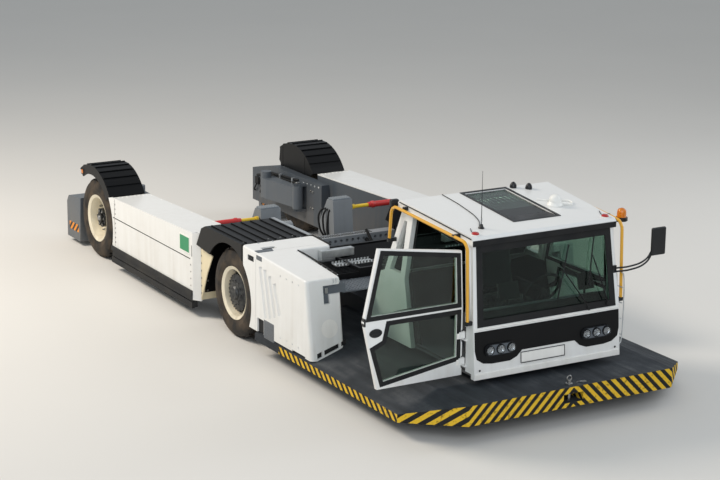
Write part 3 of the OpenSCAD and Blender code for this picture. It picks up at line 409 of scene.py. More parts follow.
def plate(bm, outline, depth, width=0.0):
    """A flat plate from an outline of points, thickened along a vector."""
    face = bm.faces.new([bm.verts.new(p) for p in outline])
    made = bmesh.ops.extrude_face_region(bm, geom=[face])["geom"]
    verts = [g for g in made if isinstance(g, bmesh.types.BMVert)]
    bmesh.ops.translate(bm, vec=Vector(depth), verts=verts)
    if width:
        edge_round(bm, set(verts) | set(face.verts), width)


def border(bm, outline, width, depth, outset=True):
    """A flat band of one width around an outline, outside or inside it, thickened along a vector."""
    before = set(bm.faces)
    face = bm.faces.new([bm.verts.new(p) for p in outline])
    face.normal_update()
    bmesh.ops.inset_region(bm, faces=[face], thickness=-width if outset else width, use_boundary=True, use_even_offset=True)
    bmesh.ops.delete(bm, geom=[face], context="FACES_ONLY")
    ring = [f for f in bm.faces if f not in before]
    made = bmesh.ops.extrude_face_region(bm, geom=ring)["geom"]
    bmesh.ops.translate(bm, vec=Vector(depth), verts=[g for g in made if isinstance(g, bmesh.types.BMVert)])


def lathe(bm, centre, axis, profile, steps=48):
    """Turns a profile of (along, radius) points about an axis through centre."""
    turn = Vector(axis).to_track_quat("Z", "Y").to_matrix().to_4x4()
    base = Matrix.Translation(centre) @ turn
    verts = [bm.verts.new(base @ Vector((r, 0, a))) for a, r in profile]
    edges = [bm.edges.new(pair) for pair in zip(verts, verts[1:])]
    made = bmesh.ops.spin(bm, geom=verts + edges, cent=centre, axis=Vector(axis).normalized(), dvec=(0, 0, 0),
                          angle=math.tau, steps=steps, use_merge=True, use_duplicate=False)
    bmesh.ops.remove_doubles(bm, verts=bm.verts, dist=1e-5)
    return made


def hose(bm, points, radius, sides=10, close=False, corner="AUTO"):
    """A round tube along a path through the points, smooth or with sharp corners."""
    curve = bpy.data.curves.new("path", "CURVE")
    curve.dimensions = "3D"
    curve.bevel_depth = radius
    curve.bevel_resolution = max(1, sides // 4)
    curve.use_fill_caps = not close
    line = curve.splines.new("BEZIER")
    line.bezier_points.add(len(points) - 1)
    line.use_cyclic_u = close
    line.resolution_u = 8 if corner == "AUTO" else 1
    for knot, p in zip(line.bezier_points, points):
        knot.co = p
        knot.handle_left_type = knot.handle_right_type = corner
    holder = bpy.data.objects.new("path", curve)
    mesh = bpy.data.meshes.new_from_object(holder)
    bm.from_mesh(mesh)
    bpy.data.objects.remove(holder)
    bpy.data.curves.remove(curve)
    bpy.data.meshes.remove(mesh)


def bolts(bm, places, facing, radius=0.011, height=0.007):
    """Hexagon bolt heads on washers at the places, standing out along facing."""
    out = Vector(facing).normalized()
    for p in places:
        rod(bm, p, Vector(p) + out * height * 0.3, radius * 1.35, 12)
        rod(bm, p, Vector(p) + out * height, radius, 6)


def along(a, b, count):
    """Evenly spaced points from a to b."""
    a, b = Vector(a), Vector(b)
    return [a.lerp(b, i / (count - 1)) for i in range(count)]


def circle(centre, axis, radius, count=24):
    """Points round a circle."""
    turn = Vector(axis).to_track_quat("Z", "Y").to_matrix()
    return [Vector(centre) + turn @ Vector((radius * math.cos(math.tau * i / count), radius * math.sin(math.tau * i / count), 0))
            for i in range(count)]


HANDS = ((-1, "right"), (1, "left"))


def carve(bm, cutter):
    """Cuts one closed bmesh out of another and returns what is left."""
    holders = []
    for shape in (bm, cutter):
        bmesh.ops.recalc_face_normals(shape, faces=shape.faces)
        mesh = bpy.data.meshes.new("blank")
        shape.to_mesh(mesh)
        shape.free()
        holders.append(bpy.data.objects.new("blank", mesh))
        bpy.context.scene.collection.objects.link(holders[-1])
    cut = holders[0].modifiers.new("cut", "BOOLEAN")
    cut.operation, cut.solver, cut.object, cut.use_self = "DIFFERENCE", "EXACT", holders[1], True
    made = bmesh.new()
    made.from_mesh(holders[0].evaluated_get(bpy.context.evaluated_depsgraph_get()).to_mesh())
    for holder in holders:
        mesh = holder.data
        bpy.data.objects.remove(holder)
        bpy.data.meshes.remove(mesh)
    return made


def slice_off(bm, point, normal):
    """Cuts away what lies beyond a plane and closes the cut."""
    made = bmesh.ops.bisect_plane(bm, geom=bm.verts[:] + bm.edges[:] + bm.faces[:], dist=1e-5, plane_co=point,
                                  plane_no=normal, clear_outer=True)
    bmesh.ops.holes_fill(bm, edges=[g for g in made["geom_cut"] if isinstance(g, bmesh.types.BMEdge)], sides=0)


def other_side(bm):
    """Mirrors a piece across the tractor's middle plane."""
    bmesh.ops.transform(bm, matrix=Matrix.Translation((2 * MID, 0, 0)) @ Matrix.Scale(-1, 4, (1, 0, 0)), verts=bm.verts)


def front(x, z, out=0.0):
    """A point on the cab's front at a height: on the lower wall, or on the screen that leans back above it."""
    lean = 0.04 * min(z - 0.46, 0.49) / 0.49 + 0.12 * max(z - 0.95, 0.0) / 0.88
    return at(x, CAB_FRONT + lean - out, z)


def sloped(x, z, out=0.0):
    """A point on the sloping front of a side box, at a height."""
    return at(x, -1.76 - (1.075 - z) * 0.13 / 0.81 - out, z)


def roof(x, y, up=0.0):
    """A point on the roof, which rises 110 mm towards the back."""
    return at(x, y, 1.83 + 0.11 * (y - ROOF_FRONT - 0.03) / (ROOF_BACK - ROOF_FRONT - 0.07) + up)


# The right door stands open at a right angle and the left one is shut; both are drawn shut on the right
HINGE = (0.872, -3.45)
OPENED = Matrix.Translation(at(-HINGE[0], HINGE[1], 0)) @ Matrix.Rotation(math.pi / 2, 4, "Z") @ Matrix.Translation(-at(-HINGE[0], HINGE[1], 0))
SHUT = Matrix.Translation((2 * MID, 0, 0)) @ Matrix.Scale(-1, 4, (1, 0, 0))
DOORS = (("right", OPENED), ("left", SHUT))
UPPER_PANE = ((-3.375, 1.19), (-2.425, 1.19), (-2.555, 1.76), (-3.355, 1.64))
LOWER_PANE = ((-3.375, 0.66), (-2.565, 0.54), (-2.47, 0.86), (-2.59, 0.91), (-2.63, 1.08), (-3.375, 1.08))


class TractorSettings(bpy.types.PropertyGroup):
    """Sizes and colours that a user would change."""
    tread_depth: FloatProperty(name="Tread depth", description="Depth of the tyre's grooves", default=0.014,
                               min=0.004, max=0.03, subtype="DISTANCE", unit="LENGTH")
    tread_steps: IntProperty(name="Tread blocks", description="Steps of the tread round a tyre", default=100, min=60, max=140)
    hub_teeth: IntProperty(name="Hub teeth", description="Bolt lugs round the edge of a front hub", default=28, min=12, max=40)
    bolt_radius: FloatProperty(name="Bolt radius", description="Radius of the fenders' bolt heads", default=0.011,
                               min=0.005, max=0.02, subtype="DISTANCE", unit="LENGTH")
    stripe_width: FloatProperty(name="Stripe width", description="Width of a warning band, measured along the deck's edge",
                                default=0.055, min=0.04, max=0.2, subtype="DISTANCE", unit="LENGTH")
    seal_width: FloatProperty(name="Seal width", description="Width of the black borders round the cab's panes",
                              default=0.045, min=0.01, max=0.05, subtype="DISTANCE", unit="LENGTH")
    slats: IntProperty(name="Grille slats", description="Slats of the radiator grille, front to back", default=20, min=8, max=30)
    floor_colour: FloatVectorProperty(name="Floor", description="Colour of the studio floor", size=4, subtype="COLOR",
                                      default=linear("D9D7D2"), min=0.0, max=1.0)


class TRACTOR_OT_finishes(bpy.types.Operator):
    """Give every CAD node its material"""
    bl_idname = "tractor.finishes"
    bl_label = "CAD Finishes"

    def execute(self, context):
        prepare_materials()
        for name, node in NODES.items():
            node.data.materials.clear()
            node.data.materials.append(PALETTE[CAD_FINISH[name]])
        return {"FINISHED"}


# name, body, side, distance behind the front axle
WHEELS = (("front_right", "wheel_front_right", -1, 0.0), ("front_left", "wheel_front_left", 1, 0.0),
          ("rear_right", "wheel_rear_right", -1, REAR), ("rear_left", "wheel_rear_left", 1, REAR))


class TRACTOR_OT_tyres(bpy.types.Operator):
    """Build the four tyres with their tread blocks and side ribs"""
    bl_idname = "tractor.tyres"
    bl_label = "Tyres"

    def execute(self, context):
        low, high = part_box("tyre_front_right")
        half, radius = (high[0] - low[0]) / 2, (high[2] - low[2]) / 2 + 0.00005
        bead = 0.2732
        depth = context.scene.tractor.tread_depth
        steps = context.scene.tractor.tread_steps
        side = [(half - 0.042, bead), (half - 0.022, bead + 0.022), (half - 0.014, bead + 0.032), (half - 0.013, bead + 0.040),
                (half - 0.006, bead + 0.055), (half - 0.0015, bead + 0.085), (half, bead + 0.088), (half, bead + 0.100),
                (half - 0.0015, bead + 0.103), (half - 0.003, bead + 0.135), (half - 0.007, bead + 0.160),
                (half - 0.020, radius - 0.030), (half - 0.040, radius - depth - 0.004)]
        tread = [0.142, 0.102, 0.092, 0.042, 0.030, -0.030, -0.042, -0.092, -0.102, -0.142]
        profile = side + [(a, radius - depth) for a in tread] + [(-a, r) for a, r in reversed(side)]
        for name, body, _, y in WHEELS:
            bm = bmesh.new()
            centre = Vector((middle("tyre_" + name, 0), AXLE + y, HUB_Z))
            lathe(bm, centre, (1, 0, 0), profile, steps)
            chosen = []
            for face in bm.faces:
                offset = face.calc_center_median() - centre
                turn = int(round(math.degrees(math.atan2(offset.z, offset.y)) * steps / 360 + 0.5)) % steps
                if math.hypot(offset.y, offset.z) < radius - depth - 0.003:
                    continue
                a = abs(offset.x)
                shoulder = 0.102 < a < 0.142 and turn % 5 != 0
                rib = 0.042 < a < 0.092 and turn % 5 != 2
                crown = a < 0.030 and turn % 5 != 4
                if shoulder or rib or crown:
                    chosen.append(face)
            made = bmesh.ops.extrude_face_region(bm, geom=chosen)["geom"]
            bmesh.ops.delete(bm, geom=chosen, context="FACES_ONLY")
            for vert in {g for g in made if isinstance(g, bmesh.types.BMVert)}:
                out = Vector((0, vert.co.y - centre.y, vert.co.z - centre.z)).normalized()
                vert.co += out * depth
            piece = keep(bm, "tyre_tread_" + name, "tyre_rubber", body, 28)
            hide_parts("tyre_" + name)
        return {"FINISHED"}


class TRACTOR_OT_wheels(bpy.types.Operator):
    """Build the toothed front hubs, the wheel nuts, the valves and the rear motors' bolts"""
    bl_idname = "tractor.wheels"
    bl_label = "Hubs and Wheel Nuts"

    def execute(self, context):
        teeth = context.scene.tractor.hub_teeth
        for name, body, s, y in WHEELS:
            disc = WHEEL_X + (0.078 if y == 0 else 0.038)
            ring = 0.226 if y == 0 else 0.208
            bm = bmesh.new()
            for p in circle(at(s * disc, y, HUB_Z), (1, 0, 0), ring, 12):
                rod(bm, p, p + Vector((s * 0.005, 0, 0)), 0.018, 16)
                rod(bm, p, p + Vector((s * 0.022, 0, 0)), 0.0135, 6)
                rod(bm, p, p + Vector((s * 0.032, 0, 0)), 0.008, 10)
            p = at(s * (disc - 0.006), y + 0.1, HUB_Z + 0.235)
            hose(bm, [p, p + Vector((s * 0.03, 0, 0.002)), p + Vector((s * 0.06, 0, -0.02))], 0.006)
            keep(bm, "wheel_nuts_" + name, "bare_steel", body)
        for s, tag in HANDS:
            low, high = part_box("hub_" + tag)
            inner, outer = (MID + s * 1.5078, high[0] if s > 0 else low[0])
            bm = bmesh.new()
            deep = abs(outer - inner)
            lathe(bm, (inner, AXLE, HUB_Z), (s, 0, 0), [
                (0, 0), (0, 0.192), (0.012, 0.199), (0.030, 0.199), (0.036, 0.192), (0.040, 0.168), (0.052, 0.150),
                (0.056, 0.120), (0.064, 0.116), (0.068, 0.086), (deep - 0.010, 0.080), (deep, 0.070), (deep, 0)], 56)
            for p in circle(Vector((inner + s * 0.005, AXLE, HUB_Z)), (1, 0, 0), 0.200, teeth):
                rod(bm, p, p + Vector((s * 0.030, 0, 0)), 0.0145, 10, 0.011)
            for p in circle(Vector((inner + s * 0.052, AXLE, HUB_Z)), (1, 0, 0), 0.135, 12):
                rod(bm, p, p + Vector((s * 0.010, 0, 0)), 0.008, 6)
            for p in circle(Vector((outer - s * 0.002, AXLE, HUB_Z)), (1, 0, 0), 0.045, 3):
                rod(bm, p, p + Vector((s * 0.002, 0, 0)), 0.009, 6)
            piece = keep(bm, "hub_casting_" + tag, "cast_iron", "wheel_front_" + tag)
            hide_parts("hub_" + tag)
            bm = bmesh.new()
            face = WHEEL_X + 0.120
            for p in circle(at(s * face, REAR, HUB_Z), (1, 0, 0), 0.088, 6):
                rod(bm, p, p + Vector((s * 0.016, 0, 0)), 0.013, 6)
            rod(bm, at(s * (face + 0.030), REAR, HUB_Z), at(s * (face + 0.046), REAR, HUB_Z), 0.034, 20, 0.026)
            keep(bm, "motor_bolts_" + tag, "bare_steel", CHASSIS)
            bm = bmesh.new()
            for z, r in ((-0.035, 0.014), (0.035, 0.014)):
                hose(bm, [at(s * 1.07, REAR + 0.34, HUB_Z + z + 0.10), at(s * 1.045, REAR + 0.42, HUB_Z + z + 0.14),
                          at(s * 1.045, REAR + 0.62, HUB_Z + z + 0.06), at(s * 1.07, REAR + 0.70, HUB_Z + z + 0.02)], r)
            keep(bm, "motor_hoses_" + tag, "trim_rubber", CHASSIS)
        return {"FINISHED"}


class TRACTOR_OT_side_boxes(bpy.types.Operator):
    """Build the white boxes beside the deck with their flutes, recesses and step"""
    bl_idname = "tractor.side_boxes"
    bl_label = "Side Boxes"

    def execute(self, context):
        shell = bmesh.new()
        plan = ((-SIDE, -0.34), (-0.80, -0.34), (-0.80, -0.75), (-1.21, -0.75), (-1.27, -1.90), (-SIDE, -1.90))
        plate(shell, [at(x, y, 0.265) for x, y in plan], (0, 0, 0.90))
        slice_off(shell, at(0, -1.76, 1.075), (0, -0.055, 1.42))
        slice_off(shell, at(0, -1.76, 1.075), (0, -0.810, 0.130))
        upright = [e for e in shell.edges if abs(e.verts[0].co.z - e.verts[1].co.z) > 0.3 and e.calc_face_angle(0) > 0.5]
        bmesh.ops.bevel(shell, geom=upright, offset=0.042, offset_type="OFFSET", segments=5, profile=0.5, affect="EDGES",
                        material=-1, clamp_overlap=True)
        rim = [e for e in shell.edges if e.calc_face_angle(0) > 0.4 and min(v.co.z for v in e.verts) > 0.9]
        bmesh.ops.bevel(shell, geom=rim, offset=0.022, offset_type="OFFSET", segments=3, profile=0.5, affect="EDGES",
                        material=-1, clamp_overlap=True)
        cut = bmesh.new()
        rod(cut, at(-1.80, 0, HUB_Z), at(-0.70, 0, HUB_Z), 0.5615, 96)
        # flutes on the side, from the top down
        for i, (head, foot) in enumerate(((0.990, 0.456), (0.981, 0.480), (0.936, 0.517), (0.885, 0.571))):
            a, b = at(-1.6789, -0.772 - 0.104 * i, head), at(-1.6789, -0.898 - 0.104 * i, foot)
            rod(cut, a, b, 0.0389, 28)
        # vent, hand hole behind the wheel, foot slot and the joint of the wide part
        block(cut, at(-1.70, -0.62, 1.00), at(-1.648, -0.48, 1.06), 0.004)
        block(cut, at(-1.70, -0.847, 0.20), at(-1.52, -0.70, 0.42), 0.012)
        block(cut, at(-1.70, -1.758, 0.20), at(-1.58, -1.476, 0.283), 0.006)
        block(cut, at(-1.70, -0.672, 0.20), at(-1.657, -0.664, 1.045), 0)
        block(cut, at(-1.70, -0.668, 1.095), at(-0.79, -0.662, 1.2), 0)
        # bent recess in the sloping front, and foot slots that follow the deck's fall
        for outline in (((-1.470, 0.82), (-1.402, 0.82), (-1.402, 0.912), (-1.20, 0.912), (-1.20, 1.005), (-1.470, 1.005)),
                        ((-1.590, 0.277), (-1.530, 0.296), (-1.530, 0.355), (-1.590, 0.335)),
                        ((-1.505, 0.304), (-1.330, 0.358), (-1.330, 0.410), (-1.505, 0.360)),
                        ((-1.305, 0.366), (-1.235, 0.388), (-1.235, 0.435), (-1.305, 0.415))):
            depth = 0.026 if outline[0][1] > 0.5 else 0.024
            plate(cut, [sloped(x, z, 0.03) for x, z in outline], (0, 0.03 + depth, 0))
        # slot in the top beside the fender
        block(cut, at(-1.54, -0.60, 1.108), at(-1.37, -0.53, 1.2), 0.004)
        whole = carve(shell, cut)
        for s, tag in HANDS:
            bm = whole.copy()
            if s > 0:
                other_side(bm)
            keep(bm, "box_shell_" + tag, "body_enamel", CHASSIS, 32)
        whole.free()
        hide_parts("side_boxes")
        for s, tag in HANDS:
            rows = []
            # vent slats; a black block sunk in the hand hole and black plates on the foot slots' floors, painted shade
            # in these openings; strip along the inner edge, grip round the corner, latch block and plate
            bm = bmesh.new()
            for i in range(6):
                block(bm, at(-1.656, -0.617, 1.003 + i * 0.0098), at(-1.650, -0.483, 1.008 + i * 0.0098), 0.001)
            # black block sunk 20 mm into the hand hole: painted shade filling the opening
            block(bm, at(-1.640, -0.8465, 0.2652), at(-1.5202, -0.7005, 0.4195), 0)
            block(bm, at(-1.535, -0.597, 1.105), at(-1.375, -0.533, 1.1095), 0)
            # black plates on the floors of the foot slots: painted shade in the slots
            for outline in (((-1.589, 0.278), (-1.531, 0.297), (-1.531, 0.354), (-1.589, 0.334)),
                            ((-1.504, 0.305), (-1.331, 0.359), (-1.331, 0.409), (-1.504, 0.359)),
                            ((-1.304, 0.367), (-1.236, 0.389), (-1.236, 0.434), (-1.304, 0.414))):
                plate(bm, [sloped(x, z, -0.020) for x, z in outline], (0, 0.003, 0))
            hose(bm, [at(-1.208, -0.76, 1.108), at(-1.215, -0.90, 1.110), at(-1.255, -1.70, 1.080)], 0.009)
            hose(bm, [at(-0.803, -0.36, 1.131), at(-0.803, -0.74, 1.116)], 0.009)
            rows.append((bm, "box_trim_", "trim_rubber", "rail_black"))
            bm = bmesh.new()
            block(bm, at(-1.664, -0.807, 1.050), at(-1.655, -0.684, 1.098), 0.004)
            plate(bm, [at(x, y, 1.075 + (y + 1.76) * 0.055 / 1.42) for x, y in
                       ((-1.645, -0.69), (-1.46, -0.69), (-1.44, -0.61), (-1.645, -0.61))], (0, 0, 0.004), 0.001)
            # the step with its ribs: its darker grey is partly the step's own paint and partly painted shade
            block(bm, at(-1.665, -1.082, 0.222), at(-1.55, -0.851, 0.44), 0.012, segments=3)
            for i in range(5):
                block(bm, at(-1.668, -1.06, 0.262 + i * 0.034), at(-1.660, -0.873, 0.272 + i * 0.034), 0.002)
            # grey plate on the floor of the bent recess: painted shade in the recess
            bend = ((-1.469, 0.821), (-1.403, 0.821), (-1.403, 0.911), (-1.201, 0.911), (-1.201, 1.004), (-1.469, 1.004))
            plate(bm, [sloped(x, z, -0.0235) for x, z in bend], (0, 0.003, 0))
            rows.append((bm, "box_step_", "tail_enamel", "steel_dark"))
            bm = bmesh.new()
            bolts(bm, [at(-1.481, -0.379, 1.1285), at(-1.307, -0.374, 1.1285), at(-0.963, -0.368, 1.1285)], (0, 0, 1), 0.009)
            bolts(bm, along(at(-1.238, -0.80, 1.1125), at(-1.262, -1.70, 1.0775), 9), (0, 0, 1), 0.006, 0.004)
            for x in (-1.30, -1.33, -1.36):
                rod(bm, at(x, -1.80, 1.03), at(x, -1.79, 1.075), 0.006, 10)
            bolts(bm, [at(-1.6602, -1.22 - 0.13 * i, z) for i in range(4) for z in (0.34, 1.0)], (-1, 0, 0), 0.007, 0.004)
            block(bm, at(-1.45, -1.786, 0.925), at(-1.42, -1.772, 0.985), 0.003)
            rows.append((bm, "box_bolts_", "galvanised_steel", "steel_dark"))
            bm = bmesh.new()
            place = at(-1.427, -1.8405, 0.571)
            lathe(bm, place, (0, -0.98, 0.16), [(0, 0), (0.001, 0.092), (0.003, 0.0945), (0.004, 0.092), (0.004, 0)], 40)
            rows.append((bm, "box_sign_", "plate_white", "body_white"))
            for shape, stem, paint, slot in rows:
                if s > 0:
                    other_side(shape)
                keep(shape, stem + tag, paint, CHASSIS)
        return {"FINISHED"}


class TRACTOR_OT_side_fittings(bpy.types.Operator):
    """Build the bolts, plates, strips and lamps of the side panels, rails and fenders"""
    bl_idname = "tractor.side_fittings"
    bl_label = "Side Fittings"

    def execute(self, context):
        r = context.scene.tractor.bolt_radius
        for s, tag in HANDS:
            rows = []
            bm = bmesh.new()
            x = -SIDE - 0.0002
            bolts(bm, along(at(x, 3.06, 0.37), at(x, 3.06, 0.84), 9), (-1, 0, 0), r * 0.7, 0.004)
            bolts(bm, along(at(x, 0.93, 0.36), at(x, 0.93, 0.60), 4), (-1, 0, 0), r * 0.7, 0.004)
            bolts(bm, along(at(-1.60, -0.27, 1.1302), at(-0.86, -0.27, 1.1302), 6), (0, 0, 1), r * 0.8, 0.005)
            bolts(bm, along(at(-1.59, 0.779, 0.82), at(-1.59, 0.779, 0.30), 7), (0, -1, 0), r * 0.9, 0.006)
            bolts(bm, along(at(-1.515, 0.774, 0.66), at(-1.525, 0.774, 0.32), 4), (0, -1, 0), r * 0.9, 0.006)
            bolts(bm, along(at(-1.60, 0.60, 1.1075), at(-0.86, 0.60, 1.1075), 7), (0, 0.41, 0.91), r * 0.7, 0.004)
            rows.append((bm, "panel_bolts_", "bare_steel", "steel_dark"))
            # pale bolts where the fender meets the arm's top
            bm = bmesh.new()
            bolts(bm, along(at(-1.60, 3.085, 0.9135), at(-1.22, 3.085, 0.9135), 8), (0, 0, 1), r * 0.8, 0.006)
            bolts(bm, along(at(-1.20, 1.00, 0.976), at(-1.20, 3.0, 0.9148), 8), (0, 0, 1), r * 0.7, 0.004)
            rows.append((bm, "edge_bolts_", "plate_white", "body_white"))
            # black line in the fold along the panel: painted shadow of the gap between its upper and lower parts
            bm = bmesh.new()
            block(bm, at(-SIDE - 0.0005, 0.945, 0.661), at(-SIDE + 0.004, 3.13, 0.671), 0)
            block(bm, at(-SIDE - 0.0006, 3.075, 0.32), at(-SIDE + 0.004, 3.081, 0.90), 0)
            rows.append((bm, "panel_lines_", "trim_rubber", "rail_black"))
            # inner cheek that closes the rear fender towards the bay, and the liner behind the front wheel
            bm = bmesh.new()
            liner = ((-1.46, 0.86), (-1.50, 0.80), (-1.545, 0.66), (-1.560, 0.302), (-1.19, 0.302), (-1.19, 0.86))
            plate(bm, [at(x, 0.7792, z) for x, z in liner], (0, -0.005, 0), 0.001)
            arc = [(REAR + 0.668 * math.cos(math.radians(a)), HUB_Z + 0.668 * math.sin(math.radians(a))) for a in range(58, 148, 5)]
            low = [(REAR - 0.56, 0.905), (REAR - 0.50, 0.845), (REAR + 0.30, 0.835), (REAR + 0.375, 0.90)]
            plate(bm, [at(-1.19, y, z) for y, z in arc + low], (0.008, 0, 0), 0.002)
            rows.append((bm, "fender_cheek_", "fender_enamel", "fender_dark"))
            bm = bmesh.new()
            block(bm, at(-SIDE - 0.004, 0.950, 0.715), at(-SIDE, 1.215, 0.915), 0.001)
            rows.append((bm, "notice_border_", "plate_white", "body_white"))
            bm = bmesh.new()
            block(bm, at(-SIDE - 0.006, 0.965, 0.73), at(-SIDE - 0.004, 1.20, 0.90), 0.0005)
            rows.append((bm, "notice_face_", "notice_green", "body_white"))
            # lamp with its bezel at the rear end of the fender
            bm = bmesh.new()
            block(bm, at(-SIDE - 0.003, 4.062, 1.018), at(-SIDE + 0.032, 4.124, 1.076), 0.014, segments=3)
            rows.append((bm, "fender_lamp_", "amber_lens", "roof_fitting"))
            bm = bmesh.new()
            block(bm, at(-SIDE + 0.002, 4.052, 1.008), at(-SIDE + 0.034, 4.134, 1.086), 0.010)
            # two grooves' lips on the upper rail, and the panel's slot
            for z in (0.268, 0.287, 0.205, 0.224):
                x = -SIDE - (0.0112 if z > 0.25 else 0.0)
                hose(bm, [at(x, 0.90, z), at(x, 3.15, z)], 0.0035, 8)
            block(bm, at(-SIDE - 0.001, 0.893, 0.70), at(-SIDE + 0.004, 0.907, 0.83), 0.002)
            rows.append((bm, "rail_lips_", "trim_rubber", "rail_black"))
            # pale strip along the inner edge of the front fender, bolted to it
            bm = bmesh.new()
            for a, b in (((-0.33, 1.1303), (0.545, 1.1303)), ((0.553, 1.1285), (0.648, 1.0865)), ((0.653, 1.082), (0.776, 0.876))):
                p, q = at(-0.80, *a), at(-0.80, *b)
                lift = (q - p).cross(Vector((1, 0, 0))).normalized() * -0.004
                plate(bm, [p, q, q - Vector((0.05, 0, 0)), p - Vector((0.05, 0, 0))], lift if lift.z > 0 else -lift)
            rows.append((bm, "fender_strip_", "galvanised_steel", "steel_dark"))
            # red reflectors on the tail box
            bm = bmesh.new()
            block(bm, at(-1.53, 4.779, 0.385), at(-1.45, 4.796, 0.455), 0.008)
            block(bm, at(-1.42, 4.779, 0.385), at(-1.34, 4.796, 0.455), 0.008)
            rows.append((bm, "tail_lamp_", "red_lens", "roof_fitting"))
            bm = bmesh.new()
            for y in (4.22, 4.40, 4.58):
                block(bm, at(-1.070, y - 0.05, 0.50), at(-1.045, y + 0.05, 0.60), 0.006)
                hose(bm, [at(-1.048, y, 0.51), at(-1.035, y + 0.02, 0.46), at(-1.040, y + 0.06, 0.42), at(-1.069, y + 0.09, 0.40)], 0.010)
            hose(bm, [at(-1.069, 3.42, 0.742), at(-1.054, 3.46, 0.740), at(-1.054, 3.8, 0.722), at(-1.054, 4.3, 0.68), at(-1.069, 4.6, 0.62)], 0.016)
            hose(bm, [at(-1.069, 3.43, 0.782), at(-1.057, 3.47, 0.780), at(-1.057, 3.8, 0.758), at(-1.069, 4.3, 0.72)], 0.013)
            rows.append((bm, "wall_hoses_", "trim_rubber", "steel_dark"))
            bm = bmesh.new()
            bolts(bm, along(at(-1.070, 2.90, 0.79), at(-1.070, 3.30, 0.77), 5), (1, 0, 0), r * 0.9, 0.006)
            for y, z in ((3.56, 0.754), (3.90, 0.730), (4.20, 0.696)):
                block(bm, at(-1.070, y - 0.018, z - 0.045), at(-1.034, y + 0.018, min(z + 0.045, 0.79)), 0.004)
            rows.append((bm, "wall_clamps_", "galvanised_steel", "steel_dark"))
            for shape, stem, paint, slot in rows:
                if s > 0:
                    other_side(shape)
                keep(shape, stem + tag, paint, CHASSIS)
        return {"FINISHED"}


